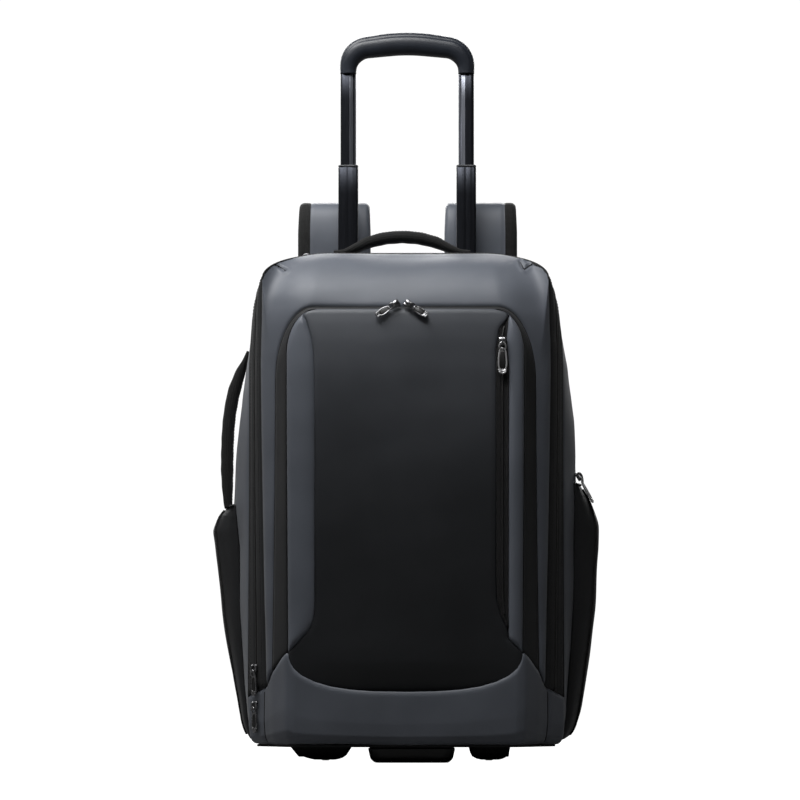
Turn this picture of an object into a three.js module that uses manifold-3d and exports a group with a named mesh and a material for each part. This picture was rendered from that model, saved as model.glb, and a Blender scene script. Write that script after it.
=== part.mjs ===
// Wheeled backpack with a two-stage pull handle, built in millimetres, +Z up, its front towards -Y.
import * as THREE from 'three';
import { mergeVertices } from 'three/addons/utils/BufferGeometryUtils.js';
import Module from 'manifold-3d';

const wasm = await Module();
wasm.setup();

// Driving sizes of the bag body
const BODY_WIDTH = 320;
const BODY_TOP = 518;
const BODY_BOTTOM = 18;
const BODY_DEPTH = 200;
const FRONT_Y = -122.5;
const CLOTH = 2;
const GAP = 0.3;

const HALF_WIDTH = BODY_WIDTH / 2;
const BACK_Y = FRONT_Y + BODY_DEPTH;

// Front pocket
const POCKET_CROWN = 7;

// Side pockets
const SIDE_POCKET_FULLNESS = 21;
const SIDE_POCKET_TOP = { left: 262, right: 284 };
const SIDE_POCKET_LOW = 30;
const SIDE_POCKET_SEAT = 0.8;

// Back pad and shoulder straps
const PAD_THICKNESS = 9;
const PAD_HALF = 108;
const STRAP_WIDTH = 74;
const STRAP_THICKNESS = 13;
const STRAP_CENTRE = 76;
const STRAP_RISE = 60.5;
const STRAP_BOW = 44;
const WEBBING_WIDTH = 25;
const WEBBING_THICKNESS = 2;

// Carry handles
const TOP_HANDLE_SPAN = 140;
const TOP_HANDLE_RISE = 12.5;
const TOP_HANDLE_THICKNESS = 9;
const TOP_HANDLE_WIDTH = 30;
const SIDE_HANDLE_TOP = 418;
const SIDE_HANDLE_LENGTH = 154;
const SIDE_HANDLE_THICKNESS = 12;
const SIDE_HANDLE_WIDTH = 30;

// Pull handle
const TUBE_SPACING = 122;
const TUBE_SETBACK = 17;
const OUTER_TUBE = { width: 25, depth: 21, wall: 1.6 };
const MIDDLE_TUBE = { width: 20.4, depth: 16.4, wall: 1.5 };
const UPPER_TUBE = { width: 16, depth: 12, wall: 1.4 };
const MIDDLE_TOP = 612;
const MIDDLE_LENGTH = 306;
const COLLAR_HEIGHT = 2;
const COLLAR_WALL = 1.8;
const GRIP_TOP = 752;
const GRIP_BAR = 23.5;
const GRIP_ARCH = 3.5;
const GRIP_DROP = 43;
const UPPER_TOP = GRIP_TOP - GRIP_DROP;
const UPPER_LENGTH = 288;
const GRIP_DEPTH = 24;
const BEZEL_RIM = 4;
const BEZEL_HEIGHT = 2.5;

// Wheels, housings and stand foot
const WHEEL_RADIUS = 31;
const TYRE_WIDTH = 27;
const TYRE_DEPTH = 9;
const WHEEL_SPACING = 168;
const WHEEL_SETBACK = 24;
const AXLE_RADIUS = 3.5;
const AXLE_CLEARANCE = 0.4;
const HOUSING_WALL = 4;
const HOUSING_CLEARANCE = 2;
const CHEEK = { left: 17, right: 2 };
const FOOT_WIDTH = 88;
const FOOT_DEPTH = 46;
const FOOT_SETBACK = 40;

// Zip pulls
const SLIDER = { length: 9, width: 8, height: 4.5 };
const PULLER = { length: 22, width: 8, thickness: 2.4, ring: 2 };

const GREY = { color: 0x54575d, roughness: 0.55, metalness: 0 };
const BLACK_CLOTH = { color: 0x1f2022, roughness: 0.6, metalness: 0 };
const BLACK_WEB = { color: 0x161617, roughness: 0.8, metalness: 0 };
const GRIP_PLASTIC = { color: 0x2b303b, roughness: 0.5, metalness: 0 };
const BLACK_PLASTIC = { color: 0x141416, roughness: 0.45, metalness: 0 };
const TUBE_METAL = { color: 0x2a2c31, roughness: 0.35, metalness: 0.8 };
const GUNMETAL = { color: 0x8c8f94, roughness: 0.3, metalness: 1 };
const RUBBER = { color: 0x101011, roughness: 0.9, metalness: 0 };

const root = new THREE.Group();
const vec = (x, y, z) => new THREE.Vector3(x, y, z);
const lerp = THREE.MathUtils.lerp;
const clamp = THREE.MathUtils.clamp;
const smooth = (from, to, value) => THREE.MathUtils.smoothstep(value, from, to);

// Linear reading of a table of [place, value] rows
function tableValue(rows, place) {
  const last = rows.length - 1;
  if (place <= rows[0][0]) return rows[0][1];
  if (place >= rows[last][0]) return rows[last][1];
  const next = rows.findIndex((row) => row[0] > place);
  const [a, b] = [rows[next - 1], rows[next]];
  return lerp(a[1], b[1], (place - a[0]) / (b[0] - a[0]));
}

function addMesh(name, geometry, look) {
  const mesh = new THREE.Mesh(geometry, new THREE.MeshStandardMaterial(look));
  mesh.name = name;
  root.add(mesh);
  return mesh;
}

// A closed geometry from points and triangles, turned so that its faces point out
function closedGeometry(points, triangles) {
  let volume = 0;
  for (const [a, b, c] of triangles) {
    volume += points[a].dot(points[b].clone().cross(points[c]));
  }
  const faces = volume < 0 ? triangles.map(([a, b, c]) => [a, c, b]) : triangles;
  const geometry = new THREE.BufferGeometry();
  geometry.setAttribute('position', new THREE.Float32BufferAttribute(points.flatMap((p) => p.toArray()), 3));
  geometry.setIndex(faces.flat());
  return geometry;
}

// A sheet of cloth: a grid of outer points, its copy one wall further in, and the rim between them
function sheetGeometry(outer, inner) {
  const rows = outer.length;
  const columns = outer[0].length;
  const count = rows * columns;
  const at = (i, j) => i * columns + j;
  const triangles = [];
  for (let i = 0; i < rows - 1; i += 1) {
    for (let j = 0; j < columns - 1; j += 1) {
      const [a, b, c, d] = [at(i, j), at(i, j + 1), at(i + 1, j + 1), at(i + 1, j)];
      triangles.push([a, b, c], [a, c, d]);
      triangles.push([a + count, c + count, b + count], [a + count, d + count, c + count]);
    }
  }
  const rim = [];
  for (let j = 0; j < columns - 1; j += 1) rim.push(at(0, j));
  for (let i = 0; i < rows - 1; i += 1) rim.push(at(i, columns - 1));
  for (let j = columns - 1; j > 0; j -= 1) rim.push(at(rows - 1, j));
  for (let i = rows - 1; i > 0; i -= 1) rim.push(at(i, 0));
  rim.forEach((a, k) => {
    const b = rim[(k + 1) % rim.length];
    triangles.push([a, a + count, b + count], [a, b + count, b]);
  });
  return closedGeometry([...outer.flat(), ...inner.flat()], triangles);
}

// Draws the edges of a grid back by half the gap, so that two sheets that share a seam stay apart
function trimmed(grid) {
  const rows = grid.length - 1;
  const columns = grid[0].length - 1;
  const pull = (edge, inside) => {
    const step = inside.clone().sub(edge);
    return edge.clone().add(step.setLength(Math.min(GAP / 2, step.length() / 3)));
  };
  const acrossRows = grid.map((row, i) => {
    if (i === 0) return row.map((p, j) => pull(p, grid[1][j]));
    if (i === rows) return row.map((p, j) => pull(p, grid[rows - 1][j]));
    return row;
  });
  return acrossRows.map((row) => row.map((p, j) => {
    if (j === 0) return pull(p, row[1]);
    if (j === columns) return pull(p, row[columns - 1]);
    return p;
  }));
}

// Inward direction at a point: towards a box inside the bag, so that it turns smoothly round the corners
const CORE_SHARE = { half: 0.62, front: 0.36, back: 0.7, low: 0.116, high: 0.888 };
const CORE = new THREE.Box3(
  vec(-HALF_WIDTH * CORE_SHARE.half, FRONT_Y + BODY_DEPTH * CORE_SHARE.front, BODY_TOP * CORE_SHARE.low),
  vec(HALF_WIDTH * CORE_SHARE.half, FRONT_Y + BODY_DEPTH * CORE_SHARE.back, BODY_TOP * CORE_SHARE.high),
);
function inward(point) {
  return CORE.clampPoint(point, vec(0, 0, 0)).sub(point).normalize();
}

function addSheet(name, grid, look, wall = CLOTH) {
  const outer = trimmed(grid);
  const inner = outer.map((row) => row.map((p) => p.clone().addScaledVector(inward(p), wall)));
  return addMesh(name, sheetGeometry(outer, inner), look);
}

// A solid through closed sections of equal count, capped at both ends
function loftGeometry(sections) {
  const count = sections[0].length;
  const points = sections.flat();
  const triangles = [];
  for (let i = 0; i < sections.length - 1; i += 1) {
    for (let k = 0; k < count; k += 1) {
      const a = i * count + k;
      const b = i * count + (k + 1) % count;
      triangles.push([a, b, b + count], [a, b + count, a + count]);
    }
  }
  const cap = (start, flip) => {
    for (let k = 1; k < count - 1; k += 1) {
      triangles.push(flip ? [start, start + k + 1, start + k] : [start, start + k, start + k + 1]);
    }
  };
  cap(0, true);
  cap((sections.length - 1) * count, false);
  return closedGeometry(points, triangles);
}

// Corner-rounded rectangle as [across, along] pairs
function roundedRectangle(width, height, radius, steps = 2) {
  const r = Math.min(radius, width / 2 - 0.01, height / 2 - 0.01);
  const pairs = [];
  [[1, 1, 0], [-1, 1, 1], [-1, -1, 2], [1, -1, 3]].forEach(([sx, sy, quarter]) => {
    for (let k = 0; k <= steps; k += 1) {
      const angle = (quarter + k / steps) * Math.PI / 2;
      pairs.push([
        sx * (width / 2 - r) + r * Math.cos(angle),
        sy * (height / 2 - r) + r * Math.sin(angle),
      ]);
    }
  });
  return pairs;
}

// A strap or bar: rounded sections set across a path. Each row has its point, its width along `side`
// and its thickness across the path.
function strapGeometry(rows, side, radiusShare = 0.45, steps = 2) {
  const sections = rows.map((row, i) => {
    const before = rows[Math.max(i - 1, 0)].point;
    const after = rows[Math.min(i + 1, rows.length - 1)].point;
    const along = after.clone().sub(before).normalize();
    const across = side.clone().addScaledVector(along, -side.dot(along)).normalize();
    const out = along.clone().cross(across).normalize();
    const radius = row.thickness * radiusShare;
    return roundedRectangle(row.width, row.thickness, radius, steps).map(([u, v]) => (
      row.point.clone().addScaledVector(across, u).addScaledVector(out, v)
    ));
  });
  return loftGeometry(sections);
}

function solidOf(geometry) {
  const bare = geometry.clone();
  bare.deleteAttribute('normal');
  bare.deleteAttribute('uv');
  const merged = mergeVertices(bare, 1e-4);
  return new wasm.Manifold(new wasm.Mesh({
    numProp: 3,
    vertProperties: new Float32Array(merged.attributes.position.array),
    triVerts: new Uint32Array(merged.index.array),
  }));
}

function geometryOf(solid) {
  const mesh = solid.getMesh();
  const geometry = new THREE.BufferGeometry();
  geometry.setAttribute('position', new THREE.BufferAttribute(mesh.vertProperties, 3));
  geometry.setIndex(new THREE.BufferAttribute(mesh.triVerts, 1));
  return geometry;
}

function boxAt(width, depth, height, x, y, z) {
  return new THREE.BoxGeometry(width, depth, height).translate(x, y, z);
}

// Seams that run up one side, over the top and down the other.
// half and foot: half widths as shares of half the body width. top and footZ: heights as shares of the body top.
// run and rise: the corner's size as shares of half the width and of the body top.
// ySide and yTop: places from the front as shares of the depth.
const SEAMS = {
  pocketEdge: { half: 0.75, foot: 0.738, top: 0.879, footZ: 0.214, run: 0.19, rise: 0.087, ySide: 0.02, yTop: 0.075 },
  pocketRoot: { half: 0.82, foot: 0.838, top: 0.886, footZ: 0.18, run: 0.24, rise: 0.145, ySide: 0.14, yTop: 0.09 },
  frameEdge: { half: 0.918, foot: 0.875, top: 0.996, footZ: 0.147, run: 0.42, rise: 0.052, ySide: 0.21, yTop: 0.45 },
  gussetEdge: { half: 0.994, foot: 1.0, top: 1.0, footZ: 0.127, run: 0.5, rise: 0.14, ySide: 0.35, yTop: 0.65 },
  backEdge: { half: 0.945, foot: 0.935, top: 0.995, footZ: 0.05, run: 0.44, rise: 0.125, ySide: 1, yTop: 0.99 },
};
const SIDE_STEPS = 9;
const CORNER_STEPS = 5;
const TOP_STEPS = 3;

const depthY = (share) => FRONT_Y + share * BODY_DEPTH;

// How far the face sits behind the pocket's front, by height as a share of the body top
const FACE_CURL = [[0.13, 0.022], [0.16, 0.01], [0.22, 0.002], [0.35, 0], [0.58, 0], [0.68, 0.005], [0.76, 0.014],
  [0.82, 0.028], [0.855, 0.042], [0.879, 0.058]];
function pocketFace(x, z) {
  const share = Math.abs(x) / (SEAMS.pocketEdge.half * HALF_WIDTH);
  const bow = POCKET_CROWN * (1 - share ** 2) * smooth(0.13, 0.2, z / BODY_TOP);
  return vec(x, depthY(0.02 + tableValue(FACE_CURL, z / BODY_TOP)) - bow, z);
}

// Half a seam from its foot to the middle of the top, on the +X side
function halfSeam(seam) {
  const half = seam.half * HALF_WIDTH;
  const run = seam.run * HALF_WIDTH;
  const rise = seam.rise * BODY_TOP;
  const top = seam.top * BODY_TOP;
  const points = [];
  for (let i = 0; i <= SIDE_STEPS; i += 1) {
    const t = i / SIDE_STEPS;
    const x = lerp(seam.foot * HALF_WIDTH, half, Math.sin(t * Math.PI / 2));
    points.push(vec(x, depthY(seam.ySide), lerp(seam.footZ * BODY_TOP, top - rise, t)));
  }
  for (let i = 1; i <= CORNER_STEPS; i += 1) {
    const angle = (i / CORNER_STEPS) * Math.PI / 2;
    const y = depthY(lerp(seam.ySide, seam.yTop, Math.sin(angle) ** 2));
    points.push(vec(half - run + run * Math.cos(angle), y, top - rise + rise * Math.sin(angle)));
  }
  for (let i = 1; i <= TOP_STEPS; i += 1) {
    points.push(vec(lerp(half - run, 0, i / TOP_STEPS), depthY(seam.yTop), top));
  }
  return points;
}

const mirroredX = (point) => vec(-point.x, point.y, point.z);

// The whole seam from the left foot to the right foot
function wholeSeam(seam) {
  const right = halfSeam(seam);
  return [...right.map(mirroredX), ...right.slice(0, -1).reverse()];
}

// The band of cloth between two seams. crown says how far its middle stands out, by the share of the way
// up one side, 0 at the foot and 1 at the middle of the top.
function bandGrid(inner, outer, columns, crown) {
  return inner.map((a, i) => {
    const b = outer[i];
    const share = 1 - Math.abs(2 * i / (inner.length - 1) - 1);
    const row = [];
    for (let j = 0; j <= columns; j += 1) {
      const t = j / columns;
      const point = a.clone().lerp(b, t);
      row.push(point.addScaledVector(inward(point), -crown(share) * 4 * t * (1 - t)));
    }
    return row;
  });
}

// Main cloth bands, nested from front to back
const GUSSET_SEAT = 0.9;
const FRAME_CROWN = 1.5;
const DOME_CROWN = 15;
const domeCrown = (share) => lerp(FRAME_CROWN, DOME_CROWN, smooth(0.55, 0.85, share));
const seams = Object.fromEntries(Object.entries(SEAMS).map(([name, seam]) => [name, wholeSeam(seam)]));
seams.pocketEdge = seams.pocketEdge.map((p) => pocketFace(p.x, p.z));

const gussetFront = seams.pocketEdge.map((p) => p.clone().add(vec(0, GUSSET_SEAT, 0)));
addSheet('pocket_gusset', bandGrid(gussetFront, seams.pocketRoot, 2, () => 0.5), BLACK_CLOTH);
addSheet('front_panel', bandGrid(seams.pocketRoot, seams.frameEdge, 6, domeCrown), GREY);
addSheet('zip_gusset', bandGrid(seams.frameEdge, seams.gussetEdge, 3, () => 0.7), BLACK_CLOTH);

// How far the side panel bows out between its seams, by height as a share of the body top
const SIDE_BOW = [[0.05, 2], [0.15, 9], [0.3, 16], [0.5, 18.5], [0.6, 15], [0.67, 10], [0.75, 5], [0.82, 2], [1, 1]];
const SIDE_COLUMNS = 8;

// Side and top panels share the band behind the zip and part at the middle of the corner
const lastSideRow = SIDE_STEPS + 2;
const rearBand = bandGrid(seams.gussetEdge, seams.backEdge, SIDE_COLUMNS, () => 0);
const bowed = rearBand.map((row) => row.map((p, j) => {
  const t = j / SIDE_COLUMNS;
  return p.clone().addScaledVector(inward(p), -tableValue(SIDE_BOW, p.z / BODY_TOP) * 4 * t * (1 - t));
}));
// The side panel goes on below its seam's foot to the bottom edge
const BOTTOM_TUCK = 6;
function sideFoot(row) {
  return row.map((p, j) => {
    const z = lerp(BODY_BOTTOM + 6, BODY_BOTTOM, j / SIDE_COLUMNS);
    return vec(Math.sign(p.x) * (Math.abs(p.x) - BOTTOM_TUCK), p.y, z);
  });
}
const leftRows = bowed.slice(0, lastSideRow + 1);
const rightRows = bowed.slice(-lastSideRow - 1).reverse();
addSheet('side_panel_left', [sideFoot(leftRows[0]), ...leftRows], GREY);
addSheet('side_panel_right', [sideFoot(rightRows[0]), ...rightRows], GREY);
const topRows = bowed.slice(lastSideRow, -lastSideRow);

// Places of the pull handle's tubes
const TUBE_Y = BACK_Y - TUBE_SETBACK;
const tubeX = { left: -TUBE_SPACING / 2, right: TUBE_SPACING / 2 };
const SIDES = ['left', 'right'];

function addTopPanel() {
  const panel = addSheet('top_panel', topRows, GREY);
  let solid = solidOf(panel.geometry);
  for (const side of SIDES) {
    const [width, depth] = [OUTER_TUBE.width + 2 * GAP, OUTER_TUBE.depth + 2 * GAP];
    const hole = boxAt(width, depth, BODY_DEPTH, tubeX[side], TUBE_Y, BODY_TOP);
    solid = solid.subtract(solidOf(hole));
  }
  panel.geometry = geometryOf(solid);
}
addTopPanel();

// Back panel: rows between the two sides of the rear seam
const BACK_CROWN = 2;
function backPanelGrid() {
  const columns = 8;
  const seam = seams.backEdge;
  const middle = (seam.length - 1) / 2;
  const rows = [];
  for (let i = 0; i <= middle - TOP_STEPS; i += 1) {
    const [a, b] = [seam[i], seam[seam.length - 1 - i]];
    rows.push(Array.from({ length: columns + 1 }, (_, j) => {
      const t = j / columns;
      const p = a.clone().lerp(b, t);
      p.y += BACK_CROWN * 4 * t * (1 - t);
      return p;
    }));
  }
  const narrowed = 1 - BOTTOM_TUCK / Math.abs(rows[0][0].x);
  const foot = rows[0].map((p) => vec(p.x * narrowed, p.y, BODY_BOTTOM));
  return [foot, ...rows];
}
const backFace = (x) => BACK_Y + BACK_CROWN * (1 - (x / (SEAMS.backEdge.half * HALF_WIDTH)) ** 2);
const backPanel = addSheet('back_panel', backPanelGrid(), BLACK_CLOTH);

// Height of the bottom panel's upper edge over the width, as shares of the half width and of the body top
const BOTTOM_EDGE = [[0, 0.1375], [0.35, 0.142], [0.569, 0.155], [0.7, 0.177], [0.738, 0.214],
  [0.838, 0.18], [0.875, 0.147], [1, 0.127]];
const bottomEdge = (x) => tableValue(BOTTOM_EDGE, Math.abs(x) / HALF_WIDTH) * BODY_TOP;

// The plan of the bottom panel, from the middle of the front to the zip gusset's rear seam
const PLAN = [[0, 0.0], [0.2, 0.001], [0.4, 0.004], [0.569, 0.008], [0.7, 0.014], [0.75, 0.03],
  [0.838, 0.14], [0.875, 0.21], [1, 0.35]];
const BOTTOM_ROWS = [[0, 0.045, 0.045], [0.06, 0.018, 0.02], [0.16, 0.004, 0.008], [0.4, 0, 0], [1, 0, 0]];
function bottomPanelGrid() {
  const shares = PLAN.map(([x]) => x);
  const across = [...shares.slice(1).reverse().map((x) => -x), ...shares];
  return BOTTOM_ROWS.map(([height, tuckBack, tuckIn]) => across.map((share) => {
    const x = share * HALF_WIDTH;
    const y = depthY(tableValue(PLAN, Math.abs(share)) + tuckBack);
    return vec(x * (1 - tuckIn), y, lerp(BODY_BOTTOM, bottomEdge(x), height));
  }));
}
addSheet('bottom_panel', bottomPanelGrid(), GREY);

// Outline of the pocket's face: half its width at a height
function pocketHalf(z) {
  const { half, foot, top, run, rise } = SEAMS.pocketEdge;
  const side = lerp(foot * HALF_WIDTH, half * HALF_WIDTH, clamp((z / BODY_TOP - 0.2) / 0.5, 0, 1));
  const [runX, riseZ, topZ] = [run * HALF_WIDTH, rise * BODY_TOP, top * BODY_TOP];
  const up = clamp((z - (topZ - riseZ)) / riseZ, 0, 1);
  return side - runX * (1 - Math.sqrt(1 - up * up));
}

// Half widths at which the black panel ends, and at which each grey inset begins, by height.
// On the right the upright zip's tape lies between the two.
const FACE_EDGES = {
  leftInset: [[0.205, 0.738], [0.226, 0.697], [0.25, 0.622], [0.29, 0.572], [0.77, 0.569], [0.82, 0.585],
    [0.855, 0.62], [0.879, 0.66]],
  rightPanel: [[0.205, 0.738], [0.226, 0.697], [0.25, 0.64], [0.27, 0.63], [0.31, 0.575], [0.8, 0.569],
    [0.84, 0.59], [0.86, 0.64], [0.879, 0.66]],
  rightInset: [[0.205, 0.738], [0.226, 0.7], [0.25, 0.648], [0.29, 0.645], [0.77, 0.65], [0.82, 0.636],
    [0.86, 0.648], [0.879, 0.665]],
};
const FACE_ROWS = [0.214, 0.226, 0.25, 0.27, 0.31, 0.42, 0.58, 0.68, 0.77, 0.8, 0.82, 0.84, 0.855, 0.868, 0.879];
const faceHeights = FACE_ROWS.map((share) => share * BODY_TOP);
const faceEdge = (name) => (z) => Math.min(tableValue(FACE_EDGES[name], z / BODY_TOP) * HALF_WIDTH, pocketHalf(z) - 1);

function faceGrid(heights, from, to, columns) {
  return heights.map((z) => Array.from({ length: columns + 1 }, (_, j) => (
    pocketFace(lerp(from(z), to(z), j / columns), z)
  )));
}

// The black panel widens below the insets and runs down to the bottom panel's edge
function pocketPanelGrid() {
  const leftEdge = faceEdge('leftInset');
  const upper = faceGrid(faceHeights, (z) => -leftEdge(z), faceEdge('rightPanel'), 8);
  const low = [1, 0.5].map((share) => upper[0].map((p) => {
    const z = lerp(p.z, Math.min(bottomEdge(p.x) + GAP, p.z), share);
    return pocketFace(p.x, z);
  }));
  return [...low, ...upper];
}

function addPocketFace() {
  const leftEdge = faceEdge('leftInset');
  const rightEdge = faceEdge('rightInset');
  const tapeHeights = faceHeights.filter((z) => z > 0.26 * BODY_TOP && z < 0.86 * BODY_TOP);
  const tape = faceGrid(tapeHeights, faceEdge('rightPanel'), rightEdge, 1);
  addSheet('pocket_panel', pocketPanelGrid(), BLACK_CLOTH);
  addSheet('pocket_inset_left', faceGrid(faceHeights, (z) => 2 * GAP - pocketHalf(z), (z) => -leftEdge(z), 2), GREY);
  addSheet('pocket_inset_right', faceGrid(faceHeights, rightEdge, (z) => pocketHalf(z) - 2 * GAP, 2), GREY);
  addSheet('pocket_zip_tape', tape, BLACK_WEB);
}
addPocketFace();

// Wheel places and the blocks that the housings take up
const WHEEL_Y = BACK_Y - WHEEL_SETBACK;
const wheelX = { left: -WHEEL_SPACING / 2, right: WHEEL_SPACING / 2 };
const HOUSING_RADIUS = WHEEL_RADIUS + HOUSING_CLEARANCE + HOUSING_WALL;
const HOUSING_TOP = WHEEL_RADIUS + HOUSING_RADIUS;
const CAVITY_WIDTH = TYRE_WIDTH + 2 * HOUSING_CLEARANCE;
const HOUSING_WIDTH = CAVITY_WIDTH + 2 * HOUSING_WALL;
const HOUSING_FRONT = WHEEL_Y - HOUSING_RADIUS;
const BASE_TOP = BODY_BOTTOM - GAP;
const BASE_LOW = BASE_TOP - CLOTH;

function housingCut(side) {
  const depth = BACK_Y + 20 - HOUSING_FRONT + GAP;
  const width = HOUSING_WIDTH + 2 * GAP;
  return solidOf(boxAt(width, depth, 2 * (HOUSING_TOP + GAP), wheelX[side], BACK_Y + 20 - depth / 2, 0));
}

function cutForHousings(mesh) {
  let solid = solidOf(mesh.geometry);
  for (const side of SIDES) solid = solid.subtract(housingCut(side));
  mesh.geometry = geometryOf(solid);
}
cutForHousings(backPanel);

// Flat cloth under the body, following the plan of the walls above it
function addBasePanel() {
  const shape = new THREE.Shape();
  const front = PLAN.map(([x, y]) => [x * HALF_WIDTH * 0.95 - 1, depthY(y) + 0.05 * BODY_DEPTH]);
  const rear = [SEAMS.backEdge.foot * HALF_WIDTH - BOTTOM_TUCK - 2, BACK_Y - 1];
  const half = [...front, [front.at(-1)[0], rear[1] - 12], [rear[0] - 8, rear[1]]];
  const outline = [...half.slice(1), ...half.slice(1).reverse().map(([x, y]) => [-x, y])];
  shape.setFromPoints(outline.map(([x, y]) => new THREE.Vector2(x, y)));
  const geometry = new THREE.ExtrudeGeometry(shape, { depth: CLOTH, bevelEnabled: false });
  cutForHousings(addMesh('base_panel', geometry.translate(0, 0, BASE_LOW), BLACK_CLOTH));
}
addBasePanel();

// A point on a grid's outer face: its column share and its height
function onGrid(grid, share, height) {
  const place = share * (grid[0].length - 1);
  const j = Math.min(Math.floor(place), grid[0].length - 2);
  const line = grid.map((row) => row[j].clone().lerp(row[j + 1], place - j));
  const next = clamp(line.findIndex((p) => p.z > height), 1, line.length - 1);
  const [a, b] = [line[next - 1], line[next]];
  return a.clone().lerp(b, (height - a.z) / (b.z - a.z));
}
const sideGrids = { left: [sideFoot(leftRows[0]), ...leftRows], right: [sideFoot(rightRows[0]), ...rightRows] };
const outFromSide = (side, share, height, distance) => {
  const point = onGrid(sideGrids[side], share, height);
  return point.addScaledVector(inward(point), -distance);
};

// Fullness of the side pockets over their height, as shares of SIDE_POCKET_FULLNESS
const POCKET_SWELL = {
  left: [[0, 0], [0.05, 0.2], [0.14, 0.35], [0.36, 0.55], [0.56, 0.75], [0.8, 1], [0.89, 1], [0.95, 0.65], [1, 0]],
  right: [[0, 0], [0.05, 0.45], [0.14, 0.7], [0.36, 0.85], [0.56, 0.95], [0.74, 1], [0.84, 0.95], [0.93, 0.6], [1, 0]],
};
const POCKET_ROWS = [0, 0.06, 0.16, 0.3, 0.45, 0.6, 0.74, 0.84, 0.91, 0.96, 1];
const POCKET_SPREAD = [0.25, 0.3, 0.375, 0.5, 0.625, 0.75, 0.875, 0.96];
function addSidePocket(side) {
  const grid = POCKET_ROWS.map((v) => POCKET_SPREAD.map((t) => {
    const u = (t - POCKET_SPREAD[0]) / (POCKET_SPREAD.at(-1) - POCKET_SPREAD[0]);
    const swell = tableValue(POCKET_SWELL[side], v) * Math.sin(Math.PI * u) ** 0.6;
    const height = lerp(SIDE_POCKET_LOW, SIDE_POCKET_TOP[side], v);
    return outFromSide(side, t, height, SIDE_POCKET_SEAT + CLOTH + SIDE_POCKET_FULLNESS * swell);
  }));
  addSheet(`side_pocket_${side}`, grid, BLACK_CLOTH);
}
SIDES.forEach(addSidePocket);

// Padded carry handle on the left side: share of its length from the top, how far its middle line stands
// off the side panel, and its thickness as a share
const SIDE_HANDLE_ROWS = [[0, 0.17, 0.3], [0.06, 0.3, 0.45], [0.14, 0.62, 0.8], [0.24, 0.86, 1], [0.38, 1, 1],
  [0.52, 1, 1], [0.64, 0.88, 0.95], [0.76, 0.66, 0.85], [0.88, 0.42, 0.6], [1, 0.17, 0.3]];
const SIDE_HANDLE_STAND = 15.5;
function addSideHandle() {
  const rows = SIDE_HANDLE_ROWS.map(([along, off, thick]) => {
    const point = outFromSide('left', 0.42, SIDE_HANDLE_TOP - along * SIDE_HANDLE_LENGTH, 0);
    point.x -= off * SIDE_HANDLE_STAND;
    return { point, width: SIDE_HANDLE_WIDTH, thickness: thick * SIDE_HANDLE_THICKNESS };
  });
  addMesh('side_handle', strapGeometry(rows, vec(0, 1, 0)), BLACK_WEB);
}
addSideHandle();

// Arched carry handle on top: place along the span, rise and thickness as shares
const TOP_HANDLE_ROWS = [[-1, 0, 0.4], [-0.85, 0.03, 0.45], [-0.7, 0.22, 0.7], [-0.5, 0.6, 0.95], [-0.25, 0.9, 1],
  [0, 1, 1], [0.25, 0.9, 1], [0.5, 0.6, 0.95], [0.7, 0.22, 0.7], [0.85, 0.03, 0.45], [1, 0, 0.4]];
const TOP_HANDLE_SHIFT = -5;
const TOP_HANDLE_Y = TUBE_Y - OUTER_TUBE.depth / 2 - BEZEL_RIM - 2 - TOP_HANDLE_WIDTH / 2;
const TOP_LIFT = 1.2;
const HANDLE_SEAT = 0.7;
const ON_TOP = BODY_TOP + TOP_LIFT;
function addTopHandle() {
  const rows = TOP_HANDLE_ROWS.map(([along, rise, thick]) => {
    const thickness = thick * TOP_HANDLE_THICKNESS;
    const z = ON_TOP - HANDLE_SEAT + thickness / 2 + rise * TOP_HANDLE_RISE;
    return {
      point: vec(TOP_HANDLE_SHIFT + along * TOP_HANDLE_SPAN / 2, TOP_HANDLE_Y, z),
      width: TOP_HANDLE_WIDTH,
      thickness,
    };
  });
  addMesh('top_handle', strapGeometry(rows, vec(0, 1, 0)), BLACK_WEB);
}
addTopHandle();

// Padded back, one plain pad
const PAD_LOW = 84;
const PAD_TOP = 474;
const PAD_CORNER = 30;
const PAD_Y = BACK_Y + BACK_CROWN + GAP;
function addBackPad() {
  const outline = roundedRectangle(2 * PAD_HALF, PAD_TOP - PAD_LOW, PAD_CORNER, 4);
  const section = (y, shrink) => outline.map(([u, v]) => vec(
    u * (1 - shrink / PAD_HALF),
    y,
    (PAD_TOP + PAD_LOW) / 2 + v * (1 - shrink / PAD_HALF),
  ));
  const sections = [section(PAD_Y, 0), section(PAD_Y + PAD_THICKNESS * 0.6, 0), section(PAD_Y + PAD_THICKNESS, 5)];
  addMesh('back_pad', loftGeometry(sections), BLACK_CLOTH);
}
addBackPad();

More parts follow.
